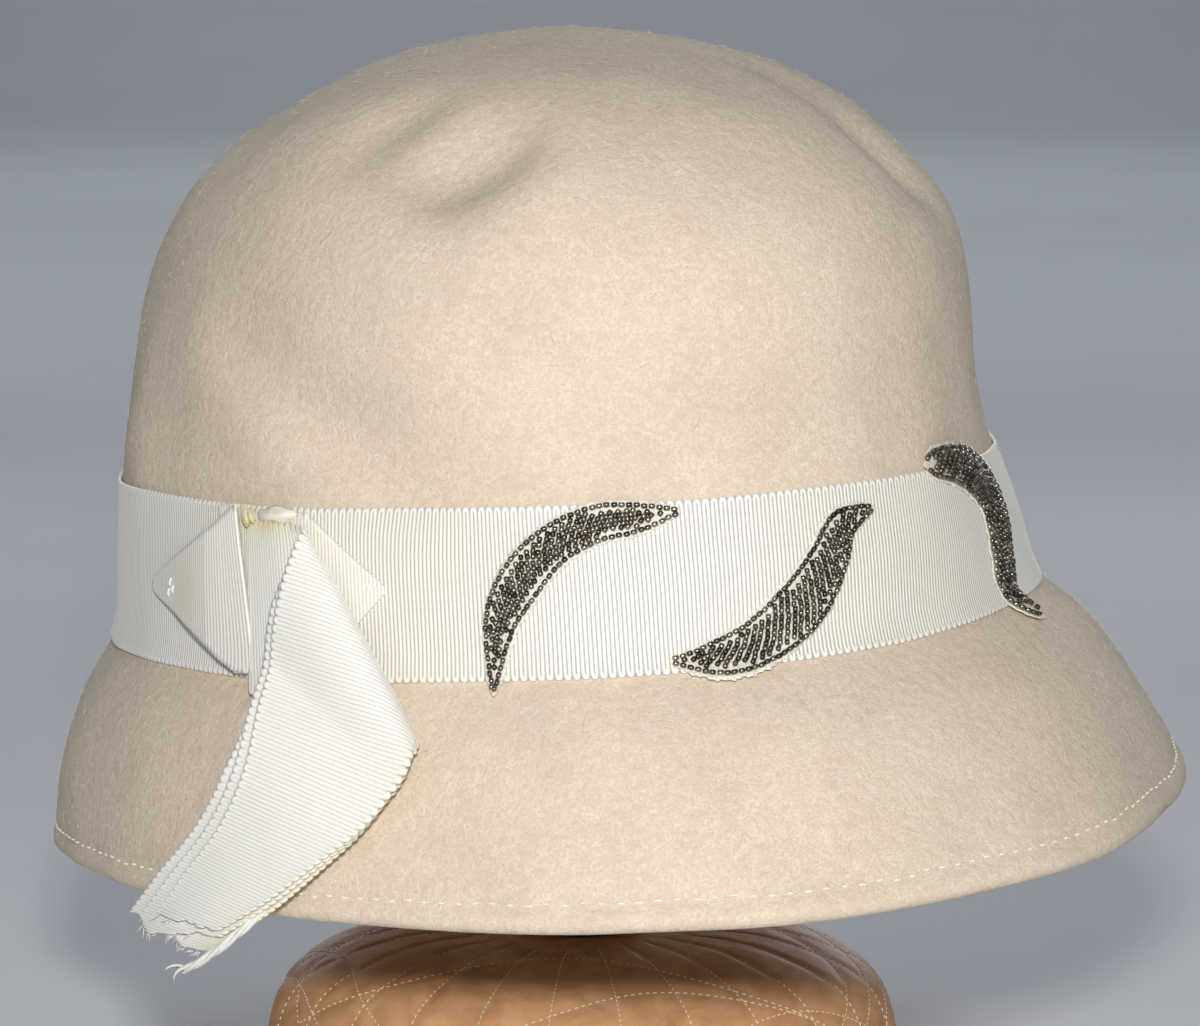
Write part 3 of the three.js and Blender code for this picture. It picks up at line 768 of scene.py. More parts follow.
def wool_felt():
    """Blocked wool felt: matt, with a tangle of short fibres that mottles it finely, a soft pebbled hand,
    faint darker blotches and darker speckles at set places, and a trace of sheen from the nap."""
    made, tree, shader = new_material("blocked_wool_felt")
    place = own_place(tree)
    tangle = noise(tree, place, per_mm(0.55), 5.0, 0.75)
    pebble = noise(tree, place, per_mm(2.0), 3.0, 0.6)
    blotch = noise(tree, place, per_mm(16), 3.0)
    speck = noise(tree, place, per_mm(1.6), 6.0, 0.8)
    body = blend(tree, ramp(tree, tangle, 0.41, 0.6), tint("felt"), tint("felt_shade"))
    body = blend(tree, ramp(tree, pebble, 0.4, 0.66, end=0.6), body, tint("felt_shade"))
    body = blend(tree, ramp(tree, blotch, 0.42, 0.72, end=0.2), body, tint("felt_darker"))
    # Darker speckles at the felt's dents, the brim's front and the crown's top
    spots = ramp(tree, speck, 0.5, 0.75, start=0.1)
    speckled_darkening = product(tree, point_mark(tree, "darker_spots"), spots, use_clamp=True)
    body = blend(tree, speckled_darkening, body, tint("felt_darker"))
    normal = bumps(tree, tangle, 0.6, 0.35, under=bumps(tree, pebble, 0.55, 0.6))
    wire(tree, shader, {"Base Color": body, "Normal": normal, "Roughness": 0.95, "Specular IOR Level": 0.1,
                        "Sheen Weight": 0.04, "Sheen Roughness": 0.45})
    return made


def felt_fibre():
    """Loose wool fibres and stray hairs: the felt's colour, or dark where the fibre is marked as a hair."""
    made, tree, shader = new_material("loose_wool_fibre")
    body = blend(tree, point_mark(tree, "dark"), tint("felt"), tint("hair"))
    wire(tree, shader, {"Base Color": body, "Roughness": 0.9, "Specular IOR Level": 0.15})
    return made


def ribbed_ribbon():
    """Ribbed rayon and cotton ribbon: bright rounded weft ribs, painted shade in the grooves dotted by the
    fine warp that crosses them, and yellowing where it has aged. Its threads give a soft gloss."""
    warp_pitch = 0.5
    made, tree, shader = new_material("ribbed_ribbon")
    place = own_place(tree)
    across = add_node(tree, "ShaderNodeSeparateXYZ", {0: cloth_place(tree)}, "Y")
    turns = product(tree, across, 2 * math.pi / warp_pitch)
    warp = add_node(tree, "ShaderNodeMath", {0: turns}, operation="SINE")
    dots = ramp(tree, warp, -1.0, 1.0, start=0.75)
    # Painted shade in the grooves and between the selvage loops, dotted along the warp
    groove_shading = product(tree, ramp(tree, point_mark(tree, "crest"), 0.1, 0.8, 0.9, 0.0), dots)
    patchy = ramp(tree, noise(tree, place, per_mm(9), 3.0), 0.35, 0.65, 0.5, 1.1)
    yellow = product(tree, point_mark(tree, "age"), patchy, use_clamp=True)
    body = blend(tree, groove_shading, tint("ribbon"), tint("groove_shade"))
    body = blend(tree, yellow, body, tint("ribbon_aged"))
    normal = bumps(tree, noise(tree, place, per_mm(0.25), 2.0), 0.2, 0.06)
    wire(tree, shader, {"Base Color": body, "Normal": normal, "Roughness": 0.5, "Specular IOR Level": 0.35,
                        "Sheen Weight": 0.15, "Sheen Roughness": 0.4})
    return made


def cut_beads():
    """Metal-lined glass seed beads: dark, glossy and a little metallic, each bead of its own tone."""
    made, tree, shader = new_material("metal_lined_glass_beads")
    body = blend(tree, point_mark(tree, "tone"), tint("bead_dark"), tint("bead_light"))
    wire(tree, shader, {"Base Color": body, "Metallic": 0.9, "Roughness": 0.24, "Coat Weight": 0.7,
                        "Coat Roughness": 0.12})
    return made


def bead_net():
    """Stiff white net and thread under the beads, with painted shade in its holes, yellowed by glue towards
    the tips.
    """
    cell = 0.6
    made, tree, shader = new_material("white_bead_net")
    place = stretch(tree, cloth_place(tree), (1 / cell, 1 / cell, 1.0))
    cells = add_node(tree, "ShaderNodeTexVoronoi", {"Vector": place, "Scale": 1.0}, "Distance",
                     feature="DISTANCE_TO_EDGE")
    holes = ramp(tree, cells, 0.04, 0.25, end=0.45)
    # Painted shade in the net's holes
    body = blend(tree, holes, tint("net"), tint("groove_shade"))
    body = blend(tree, point_mark(tree, "age"), body, tint("ribbon_aged"))
    normal = bumps(tree, cells, 0.4, 0.2, invert=True)
    wire(tree, shader, {"Base Color": body, "Normal": normal, "Roughness": 0.6})
    return made


def sewing_thread(name, hue):
    """Spun cotton thread: matt, with a fine twist."""
    made, tree, shader = new_material(name)
    twist = noise(tree, own_place(tree), per_mm(0.3), 2.0)
    body = shaded(tree, tint(hue), ramp(tree, twist, 0.3, 0.7, start=0.8))
    wire(tree, shader, {"Base Color": body, "Roughness": 0.6, "Sheen Weight": 0.2})
    return made


def varnished_wood():
    """Turned and varnished hardwood: grain streaks along the post under a clear gloss."""
    made, tree, shader = new_material("varnished_hardwood")
    place = stretch(tree, own_place(tree), (per_mm(2.5), per_mm(2.5), per_mm(60)))
    grain = noise(tree, place, 1.0, 5.0, distortion=0.6)
    body = blend(tree, ramp(tree, grain, 0.35, 0.65), tint("wood"), tint("wood_dark"))
    normal = bumps(tree, grain, 0.15, 0.2)
    wire(tree, shader, {"Base Color": body, "Normal": normal, "Roughness": 0.4, "Coat Weight": 0.5,
                        "Coat Roughness": 0.15})
    return made


def dried_glue():
    """Clear craft glue dried over the ribbon: pale, smooth and shiny, with soft ripples."""
    made, tree, shader = new_material("dried_glue")
    ripple = noise(tree, own_place(tree), per_mm(1.6), 2.0)
    body = blend(tree, ramp(tree, ripple, 0.3, 0.7, end=0.6), tint("ribbon"), tint("ribbon_aged"))
    normal = bumps(tree, ripple, 0.3, 0.3)
    wire(tree, shader, {"Base Color": body, "Normal": normal, "Roughness": 0.2, "Coat Weight": 0.5,
                        "Coat Roughness": 0.1})
    return made


def padded_satin():
    """Tan satin over padding: fine floats of thread along one way, with faint creases and wear."""
    made, tree, shader = new_material("tan_satin")
    place = own_place(tree)
    weave = noise(tree, stretch(tree, place, (per_mm(0.25), per_mm(3), per_mm(0.25))), 1.0, 3.0)
    crease = noise(tree, place, per_mm(9), 4.0, distortion=1.2)
    body = blend(tree, ramp(tree, crease, 0.35, 0.7, end=0.7), tint("satin"), tint("satin_shade"))
    normal = bumps(tree, weave, 0.25, 0.1, under=bumps(tree, crease, 0.35, 0.8))
    wire(tree, shader, {"Base Color": body, "Normal": normal, "Roughness": 0.58, "Specular IOR Level": 0.08})
    return made


def pale_floor():
    """Pale matt floor cloth, painted lighter far from the middle as painted light on the distant floor, with
    the faintest unevenness.
    """
    made, tree, shader = new_material("pale_floor")
    place = own_place(tree)
    shade = ramp(tree, noise(tree, place, per_mm(180), 2.0), 0.3, 0.7, start=0.96)
    away = add_node(tree, "ShaderNodeVectorMath", {0: place}, "Value", operation="LENGTH")
    # Painted light: the floor turns lighter away from the middle
    far_light = ramp(tree, away, 0.45, 0.95, interpolation_type="SMOOTHSTEP")
    body = shaded(tree, blend(tree, far_light, tint("floor"), tint("far_floor_light")), shade)
    wire(tree, shader, {"Base Color": body, "Roughness": 0.9, "Specular IOR Level": 0.2})
    return made


# Felt

def profile_rows(first, last, count):
    """Rows of the felt's table that lie at equal distances along its front profile."""
    rows = np.linspace(first, last, 2000)
    lengths = run_length(felt_point(rows, 0.0))
    return np.interp(np.linspace(0, lengths[-1], count), lengths, rows)


def felt_shell():
    """Crown and brim in one wall: the inner face from the top down, a half-round edge, and the outer face
    back up, with a shallow groove where the hem is sewn."""
    columns = 360
    inner_rows = 56
    outer_rows = 128
    edge_steps = 9
    near_top = TOP_ROW - 0.08
    hem_top = 1.0
    hem_fade = 0.15
    groove_depth = 0.42
    groove_rows = 0.11
    rim_rows = 0.25
    wall = size("felt_wall")
    hem = size("hem_wall")
    angle = np.linspace(-np.pi, np.pi, columns, endpoint=False)
    rows = profile_rows(EDGE_ROW, near_top, outer_rows)
    dip = groove_depth * np.exp(-((rows - HEM_STITCH_ROW) / groove_rows) ** 2)
    roll = RIM_ROLL * np.exp(-((rows - EDGE_ROW) / rim_rows) ** 2)
    outer = off_felt(rows[:, None], angle, (roll - dip)[:, None] * np.ones(columns))
    within = profile_rows(EDGE_ROW, near_top, inner_rows)[::-1]
    thick = wall + (hem - wall) * np.clip((hem_top - within) / hem_fade, 0, 1)
    inner = off_felt(within[:, None], angle, -thick[:, None] * np.ones(columns))
    here, normal, down, _ = felt_frame(EDGE_ROW, angle)
    turn = (np.arange(1, edge_steps) / edge_steps * np.pi)[:, None, None]
    radius = (hem + RIM_ROLL) / 2
    edge = here + normal * (RIM_ROLL - radius * (1 + np.cos(turn))) + down * radius * np.sin(turn)
    top = felt_point(TOP_ROW, 0.0)
    points, faces = skin(np.concatenate([inner, edge, outer]), top - [0, 0, wall], top)
    darker_spots = bells(FELT_DARKER_SPOTS, np.arctan2(points[:, 0], -points[:, 1]), points[:, 2])
    add_piece("felt_shell", on_part(points), faces, wool_felt(), "felt_body", marks={"darker_spots": darker_spots})


def hem_stitches():
    """Topstitching of the hem: short threads that arch out of the groove, at equal distances round the
    brim."""
    thread = 0.22
    crown = -0.1
    dive = 0.35
    stray_rows = 0.02
    angles, lengths = round_lengths(HEM_STITCH_ROW)
    count = round((lengths[-1] - lengths[0]) / size("hem_pitch"))
    middle = lengths[0] + (np.arange(count) + 0.5) * (lengths[-1] - lengths[0]) / count
    share = np.linspace(-1, 1, 7)
    draw = np.random.default_rng(SEEDS["hem"])
    long = size("hem_stitch") * draw.uniform(0.75, 1.2, count)
    angle = np.interp(middle[:, None] + share * long[:, None] / 2, lengths, angles)
    row = HEM_STITCH_ROW + draw.normal(0, stray_rows, (count, 1))
    lines = off_felt(row, angle, crown - dive * share ** 2 * np.ones((count, 1)))
    _, up, _, _ = felt_frame(HEM_STITCH_ROW, angle[:, len(share) // 2])
    points, faces = tubes(lines, thread * (1.02 - share ** 4), 6, up)
    add_piece("hem_stitches", on_part(points), faces, sewing_thread("hem_thread", "hem_thread"))


# Loose fibres and dark hairs of the felt: how many, how much longer than the nap, how steeply one may rise,
# how far off the felt it starts, and its radius from root to tip
NAP_KINDS = {
    "fibre": (9000, 1.0, 0.6, -0.05, (0.045, 0.035, 0.012)),
    "hair": (170, 2.2, 0.16, 0.06, (0.03, 0.035, 0.03, 0.015)),
}


def felt_nap():
    """Loose fibres and dark stray hairs: each a thin bent thread that starts in the felt, lies over to one
    side and lifts off it, at random places of equal density."""
    draw = np.random.default_rng(SEEDS["nap"])
    tries = 3
    widest = 125
    profile = profile_rows(0.0, TOP_ROW - 0.1, 400)
    solids = []
    darks = []
    for kind, (count, stretch_by, steepest, start, radii) in NAP_KINDS.items():
        row = np.interp(draw.uniform(0, 1, tries * count), np.linspace(0, 1, len(profile)), profile)
        angle = draw.uniform(-np.pi, np.pi, tries * count)
        girth = np.linalg.norm(felt_point(row, angle)[:, :2], axis=1)
        free = (row < BAND_LOW_ROW - 0.1) | (row > BAND_HIGH_ROW + 0.1)
        keep = np.flatnonzero(free & (draw.uniform(0, widest, tries * count) < girth))[:count]
        here, normal, down, round_it = felt_frame(row[keep], angle[keep])
        one_each = (len(keep), 1)
        way = draw.uniform(0, 2 * np.pi, len(keep))[:, None]
        lie = np.cos(way) * down + np.sin(way) * round_it
        bend = np.cross(normal, lie) * draw.normal(0, 0.35, one_each)
        long = (size("nap") * draw.uniform(0.5, 1.5, one_each)) * stretch_by
        lift = draw.uniform(0.05, steepest, one_each)
        steps = np.linspace(0, 1, len(radii))
        run = [long * (t * lie + t * t * bend + t * lift * normal) for t in steps]
        lines = np.stack([here + away + start * normal for away in run], axis=1)
        solids.append(tubes(lines, np.array(radii), 3, normal))
        darks.append(np.full(len(solids[-1][0]), draw.uniform(0.6, 1.0) if kind == "hair" else 0.0))
    points, faces = joined(*solids)
    marks = {"dark": np.concatenate(darks)}
    add_piece("felt_nap", on_part(points), faces, felt_fibre(), marks=marks)


# Ribbons

def spread_across(width, edge=1.2, fine=5, coarse=12):
    """Distances across a ribbon, closer together near its two selvages."""
    low = np.linspace(0, edge, fine)
    return np.concatenate([low, np.linspace(edge, width - edge, coarse)[1:-1], width - low[::-1]])


def weft_loops(along, pitch):
    """Loops in which pairs of ribs end at a selvage: the root of a rectified cosine, two ribs long."""
    return np.sqrt(np.abs(np.cos(np.pi * (along / pitch - 0.5) / 2)))


def near_selvage(to_edge):
    """Share of a selvage's loops at a distance from the ribbon's edge."""
    return np.clip(1 - to_edge / SELVAGE_REACH, 0, 1)


def loop_pull(along, across, width, pitch):
    """Shift across a ribbon where the loops of its two selvages pull it out and let it in."""
    to_edge = np.minimum(across, width - across)
    outward = np.sign(across - width / 2) * np.clip(1 - to_edge / LOOP_PULL, 0, 1)
    return outward * size("scallop") * (weft_loops(along, pitch) - 0.5)


def rib_crest(along, to_edge, pitch):
    """Height of the ribs from 0 to 1: a rectified cosine for each rib, which near a selvage goes over into
    the loops that join two ribs."""
    selvage = near_selvage(to_edge)
    return (1 - selvage) * np.abs(np.cos(np.pi * along / pitch)) + selvage * weft_loops(along, pitch)


def ribbon_piece(name, node, middle, along, across, to_edge, age, groove_shading, turn=None, cut=None):
    """Ribbon about a middle surface on a grid: each face stands off it by half the thickness and the ribs,
    along the surface's normal. The painted shade in the grooves is a share."""
    if turn is None:
        ahead = np.gradient(middle, axis=0)
    else:
        ahead = np.roll(middle, -1, axis=0) - np.roll(middle, 1, axis=0)
    normal = unit(np.cross(ahead, np.gradient(middle, axis=1)))
    crest = rib_crest(along, to_edge, size("rib_pitch"))
    selvage = near_selvage(to_edge)
    half = size("ribbon") / 2 + (size("rib_height") + LOOP_FULLNESS * selvage) * crest
    half *= EDGE_THICKNESS + (1 - EDGE_THICKNESS) * np.clip(to_edge / EDGE_TAPER, 0, 1)
    rise = normal * half[..., None]
    points, faces, maps, used = thin_sheet(middle + rise, middle - rise, along, across, turn, cut)
    gap = (1 - selvage) * (1 - crest) + selvage * (1 - weft_loops(along, size("rib_pitch")) ** 2)
    # Painted shade in the grooves and in the gaps between the selvage loops, carried by the crest mark
    tone = 1 - (groove_shading + (LOOP_GAP_SHADE - groove_shading) * selvage) * gap
    marks = {"crest": both_faces(tone, used), "age": both_faces(np.broadcast_to(age, crest.shape), used)}
    cloth = bpy.data.materials["ribbed_ribbon"]
    return add_piece(name, on_part(points), faces, cloth, node, maps, marks)


def ribbon_width():
    """Width of the ribbon: from the band's lower row to its upper row."""
    return float(FELT_SECTIONS[BAND_HIGH_ROW, 0] - FELT_SECTIONS[BAND_LOW_ROW, 0])


def ribbon_band():
    """Band round the crown: the felt's own surface between two rows, lifted off it, with looped selvages."""
    pitch = size("rib_pitch")
    width = ribbon_width()
    girth = BAND_LENGTHS[-1] - BAND_LENGTHS[0]
    ribs = 2 * round(girth / pitch / 2)
    along = np.arange(RIB_STEPS * ribs) * pitch / RIB_STEPS
    angle = np.interp(along * girth / (ribs * pitch) + BAND_LENGTHS[0], BAND_LENGTHS, BAND_ANGLES)
    degrees = np.degrees(angle)
    along, across = np.meshgrid(along, spread_across(width, fine=4, coarse=9), indexing="ij")
    drop_low, drop_high = (np.interp(degrees, BAND_SAG[:, 0], BAND_SAG[:, k])[:, None] for k in (1, 2))
    height = FELT_SECTIONS[BAND_LOW_ROW, 0] - drop_low + across * (1 - (drop_high - drop_low) / width)
    height = height + loop_pull(along, across, width, pitch)
    lift = BAND_LIFT + size("ribbon") / 2 + size("rib_height")
    skew_place, skew_spread = BAND_SKEW_PLACE
    skew = BAND_SKEW * np.exp(-((degrees - skew_place) / skew_spread) ** 2)[:, None]
    turned = angle[:, None] + skew * (height - MID_BAND_Z)
    row = row_at_height(height + waver(0.0, BAND_SLACK, angle)[:, None])
    middle = off_felt(row, turned, lift * np.ones_like(height))
    age = waver(BAND_AGE, BAND_AGE_WAVES, angle)[:, None]
    to_edge = np.minimum(across, width - across)
    piece = ribbon_piece("ribbon_band", "hat_band", middle, along, across, to_edge, age, BAND_GROOVE_SHADE,
                         turn=ribs * pitch)


# Places across a flat piece of the bow, from its lower edge to its upper edge
FOLD_SHARES = np.linspace(0, 1, 22)


def flat_fold(table, pitch):
    """Distance round the band, lower edge, upper edge, lift and slant of a flat piece of the bow at each
    quarter rib along it, on straight lines between the rows of its table."""
    along = np.arange(table[0, 0], table[-1, 0], pitch / RIB_STEPS)
    return [along, *(np.interp(along, table[:, 0], table[:, k]) for k in range(1, 5))]


def fold_surface(along, low, high, lift, slant):
    """Middle surface of a flat piece, from its lower to its upper edge at each distance along the band, and
    the heights of its points."""
    height = low[:, None] + FOLD_SHARES * (high - low)[:, None]
    angle = band_angle(along[:, None] + slant[:, None] * (MID_BAND_Z - height))
    return off_felt(row_at_height(height), angle, lift[:, None] * np.ones_like(height)), height


def fold_piece(name, node, path, surface, ribs, raw, age, groove_shading):
    """Flat piece of the bow on its surface, and what it is cut from. Raw edges have no loops."""
    pitch = size("rib_pitch")
    _, low, high, _, _ = path
    middle, height = surface
    span = (high - low)[:, None]
    run = ribs[:, None] * pitch / RIB_STEPS * np.ones(len(FOLD_SHARES))
    to_edge = np.minimum(FOLD_SHARES, 1 - FOLD_SHARES) * span + RAW_EDGE * raw[:, None]
    piece = ribbon_piece(name, node, middle, run, height, to_edge, age, groove_shading)


def bow_loop():
    """Loop of the bow. Its open edge rolls under in a half circle and lies back below itself."""
    pitch = size("rib_pitch")
    step = pitch / RIB_STEPS
    seen = flat_fold(BOW_LOOP, pitch)
    along, low, high, lift, slant = (values[-1] for values in seen)
    roll = np.arange(step, np.pi * LOOP_ROLL_RADIUS, step) / LOOP_ROLL_RADIUS
    back = np.arange(0, LOOP_UNDERLAP, step)
    further = np.concatenate([LOOP_ROLL_RADIUS * np.sin(roll), -back])
    deeper = LOOP_ROLL_RADIUS * np.concatenate([1 - np.cos(roll), np.full(len(back), 2.0)])
    level = np.zeros(len(further))
    hidden = [along + further, low + level, high + level, lift - deeper, slant + level]
    path = [np.append(*values) for values in zip(seen, hidden)]
    surface = fold_surface(*path)
    stain_along, stain_height, wide, tall, strength = LOOP_STAIN
    away = ((path[0][:, None] - stain_along) / wide) ** 2 + ((surface[1] - stain_height) / tall) ** 2
    age = LOOP_AGE + strength * np.exp(-away)
    ribs = np.arange(len(path[0])) - len(seen[0])
    # The rolled edge turns towards the light, so it gets painted shade, darker than the grooves
    groove_shading = np.where((ribs >= -1) & (ribs < len(roll)), ROLL_SHADE, LOOP_GROOVE_SHADE)[:, None]
    raw = path[0] < LOOP_RAW_BEFORE
    fold_piece("bow_loop_fold", "bow_loop", path, surface, ribs + 0.5, raw, age, groove_shading)


def bow_tab():
    """Tab of the bow, flat on the band, yellowed towards its upper edge."""
    yellow_from = 22
    yellow_over = 8
    yellow = 0.25
    path = flat_fold(BOW_TAB, size("rib_pitch"))
    surface = fold_surface(*path)
    age = TAB_AGE + yellow * np.clip((surface[1] - yellow_from) / yellow_over, 0, 1)
    ribs = np.arange(len(path[0]))
    raw = path[0] > TAB_RAW_AFTER
    fold_piece("bow_tab_fold", "bow_tab", path, surface, ribs, raw, age, TAB_GROOVE_SHADE)


def tail_point(row, share, layer):
    """Point of the tail on the straight line across it, from its left selvage, share 0, to its right, share
    1. Each further layer is shifted by the layer steps at its row, and starts straight below the one above
    it."""
    row, share = np.broadcast_arrays(row, share)
    ends = smooth_rows(TAIL_SECTIONS, row)
    if layer:
        step = np.stack([np.interp(row, LAYER_STEPS[:, 0], column) for column in LAYER_STEPS[:, 1:].T], -1)
        shown = np.clip((row - TAIL_LAYERS[layer][2]) / SHOWN_ROWS, 0, 1)[..., None]
        ends = ends + np.where(LAYER_PLACES, layer - 1 + shown, layer) * step
    ends = np.moveaxis(ends, -1, 0)
    left = off_felt_evenly(row_at_height(ends[1]), np.radians(ends[0]), ends[2])
    right = off_felt_evenly(row_at_height(ends[4]), np.radians(ends[3]), ends[5])
    return left + share[..., None] * (right - left)


def rib_field(rows, shares):
    """Distance along the ribbon at each row and share of its width. The left selvage counts its own length.
    The right one gains the fold's run up to the fold, and then goes on so that both end level at the cut."""
    left, right = (run_length(tail_point(rows, edge, 0)) for edge in (0.0, 1.0))
    left_fold, right_fold = (np.interp(TAIL_FOLD_ROW, rows, edge) for edge in (left, right))
    left_end, right_end = (np.interp(TAIL_END_ROW, rows, edge) for edge in (left, right))
    before = left + FOLD_RUN * np.clip(rows / TAIL_FOLD_ROW, 0, 1) ** FOLD_POWER
    rate = (left_end - left_fold - FOLD_RUN) / (right_end - right_fold)
    after = left_fold + FOLD_RUN + rate * (right - right_fold)
    right_field = np.where(rows < TAIL_FOLD_ROW, before, after)
    return left[:, None] + shares * (right_field - left)[:, None]


def tail_age(along, across, width, layer):
    """Yellowing of a layer of the tail: strong on the front layer's upper edge as far as the fold, and more
    on each further layer's right edge."""
    upper_reach = 1.6
    upper_fades = (12, 19)
    upper_strength = 1.1
    right_reach = 2.5
    right_strength = 0.15
    right_growth = 0.25
    upper = np.exp(-across / upper_reach) * np.interp(along, upper_fades, [1, 0])[:, None] * (layer == 0)
    right = np.exp(-(width - across) / right_reach) * (right_strength + right_growth * layer)
    return np.clip(TAIL_AGE + upper_strength * upper + right, 0, 1)


def ribbon_tails():
    """Tail of the bow in three layers. Sections lie along the ribs, found from the rib field at each share
    of the width. Each layer ends raggedly at its own cut."""
    width_row = 9.0
    teeth = 19
    fullness = 0.6
    full_from = 30
    full_over = 25
    pitch = size("rib_pitch")
    step = pitch / RIB_STEPS
    width = float(np.linalg.norm(tail_point(width_row, 0.0, 0) - tail_point(width_row, 1.0, 0)))
    across = spread_across(width, coarse=26)
    shares = across / width
    middles = (shares[1:] + shares[:-1]) / 2
    rows = np.linspace(0, TAIL_END_ROW + 1, 900)
    field = rib_field(rows, shares)
    full = float(np.interp(TAIL_END_ROW, rows, field[:, 0]))
    draw = np.random.default_rng(SEEDS["tail_cuts"])
    for layer, (name, node, first, reach) in enumerate(TAIL_LAYERS):
        start = np.interp(first, rows, field[:, 0])
        end = full - start + np.interp(middles, np.linspace(0, 1, len(reach)), reach)
        end = end + np.interp(middles, np.linspace(0, 1, teeth), draw.uniform(-0.7, 0.5, teeth))
        along = start + np.arange(0, end.max() + pitch, step)
        row = np.stack([np.interp(along, field[:, j], rows) for j in range(len(shares))], axis=1)
        pull = loop_pull(along[:, None], across, width, pitch)
        middle = tail_point(row, shares + pull / width, layer)
        bulge = fullness * np.sin(np.pi * shares) * np.clip((along - full_from) / full_over, 0, 1)[:, None]
        normal = unit(np.cross(np.gradient(middle, axis=0), np.gradient(middle, axis=1)))
        middle = middle + normal * bulge[..., None]
        age = tail_age(along, across, width, layer)
        to_edge = np.minimum(across, width - across)
        run, across_grid, to_edge = np.broadcast_arrays(along[:, None], across, to_edge)
        piece = ribbon_piece(name, node, middle, run, across_grid, to_edge, age, TAIL_GROOVE_SHADE,
                             cut=(end / step).astype(int))


# Direction about which the rings of loose threads are laid out
THREAD_UP = [0.3, 0.3, 1.0]


def cut_threads(layer, reach, draw):
    """Loose threads at one layer's cut end, thin bent lines that leave the cloth along it and droop."""
    count = 26
    row_length = 9.5
    rooted = 0.9
    radii = np.array([0.12, 0.12, 0.11, 0.09, 0.04])
    steps = np.linspace(0, 1, len(radii))[:, None]
    share = draw.uniform(0.02, 0.98, count)
    last = TAIL_END_ROW + (np.interp(share, np.linspace(0, 1, len(reach)), reach) - rooted) / row_length
    start = tail_point(last, share, layer)
    ahead = unit(start - tail_point(last - 0.3, share, layer))
    long = draw.uniform(0.9, 2.0, (count, 1))
    stray = draw.normal(0, 0.3, (count, 3)) - [0, 0, 0.2]
    lines = start[:, None] + long[:, None] * (steps * ahead[:, None] + steps ** 2 * stray[:, None])
    return tubes(lines, radii, 4, np.tile(THREAD_UP, (count, 1)))


def wisp():
    """Wisp of three strands that wind round one path and part at its tip."""
    strands = 3
    winding = 11
    apart = 0.42
    part_from = 0.8
    thread = 0.5
    along = np.linspace(0, 1, 60)
    place = smooth_rows(WISP, np.linspace(0, len(WISP) - 1, len(along)))
    path = off_felt(row_at_height(place[:, 1]), np.radians(place[:, 0]), place[:, 2])
    turn = (winding * along + np.arange(strands)[:, None] * 2 * np.pi / strands)[..., None]
    spread = (apart + 1.1 * np.clip(along - part_from, 0, 1) / 0.2)[:, None]
    ahead = np.gradient(path, axis=0)
    aside = unit(np.cross(ahead, [0.0, 0.0, 1.0]))
    upright = unit(np.cross(aside, ahead))
    lines = path + spread * (np.cos(turn) * aside + np.sin(turn) * upright)
    return tubes(lines, thread * (1 - 0.75 * along ** 4), 8, np.tile(THREAD_UP, (strands, 1)))


def frayed_ends():
    """Loose threads at the cut ends of the tail's layers, and the wisp."""
    draw = np.random.default_rng(SEEDS["frayed"])
    threads = [cut_threads(layer, reach, draw) for layer, (_, _, _, reach) in enumerate(TAIL_LAYERS)]
    points, faces = joined(*threads, wisp())
    add_piece("frayed_ends", on_part(points), faces, sewing_thread("ribbon_thread", "ribbon"))


def knot_glue():
    """Low dome of dried glue above the knot, on an uneven oval."""
    along, height, half_along, half_high, lift, thick = KNOT_GLUE
    turn = np.linspace(0, 2 * np.pi, 36, endpoint=False)
    reach = np.linspace(1, 0.1, 9)[:, None]
    uneven = waver(1, [(0.12, 2, 1), (0.07, 5, 0)], turn)
    row = row_at_height(height + half_high * reach * uneven * np.sin(turn))
    angle = band_angle(along + half_along * reach * uneven * np.cos(turn))
    rings = off_felt(row, angle, (lift + thick * (1 - reach ** 2)) * np.ones(len(turn)))
    poles = [off_felt(row_at_height(height), band_angle(along), at) for at in (lift, lift + thick)]
    points, faces = skin(rings, *poles)
    add_piece("knot_glue", on_part(points), faces, dried_glue())


def knot_scrap():
    """Three short upright threads side by side above the knot."""
    thread = 0.42
    sway = 0.3
    share = np.linspace(0, 1, 9)
    along, low, high, lift = (column[:, None] for column in KNOT_SCRAP.T)
    height = low + share * (high - low)
    angle = band_angle(along + sway * np.sin(5 * share))
    lines = off_felt(row_at_height(height), angle, lift + np.sin(np.pi * share))
    _, up, _, _ = felt_frame(row_at_height(KNOT_SCRAP[:, 1]), band_angle(KNOT_SCRAP[:, 0]))
    points, faces = tubes(lines, thread * (1.1 - (2 * share - 1) ** 4), 8, up)
    add_piece("knot_scrap", on_part(points), faces, sewing_thread("aged_thread", "ribbon_aged"))


def tack_stitches():
    """Short stitches that hold the loop's tip and the tab's tip to the band: small arched threads."""
    thread = 0.26
    half_along = 0.25
    half_high = 0.8
    share = np.linspace(-1, 1, 7)
    along = TACK_SPOTS[:, :1] + half_along * share
    height = TACK_SPOTS[:, 1:2] + half_high * share
    lift = TACK_SPOTS[:, 2:] + 0.2 - 0.7 * share ** 4
    lines = off_felt(row_at_height(height), band_angle(along), lift)
    _, up, _, _ = felt_frame(row_at_height(TACK_SPOTS[:, 1]), band_angle(TACK_SPOTS[:, 0]))
    points, faces = tubes(lines, np.full(len(share), thread), 6, up)
    add_piece("tack_stitches", on_part(points), faces, bpy.data.materials["ribbon_thread"])


# Beaded leaves

def leaf_lines(table):
    """Spine of a leaf in band coordinates: length along it, place and half width, and direction, at close
    steps."""
    place = smooth_rows(table, np.linspace(0, len(table) - 1, 800))
    return run_length(place[:, :2]), place, unit(np.gradient(place[:, :2], axis=0))


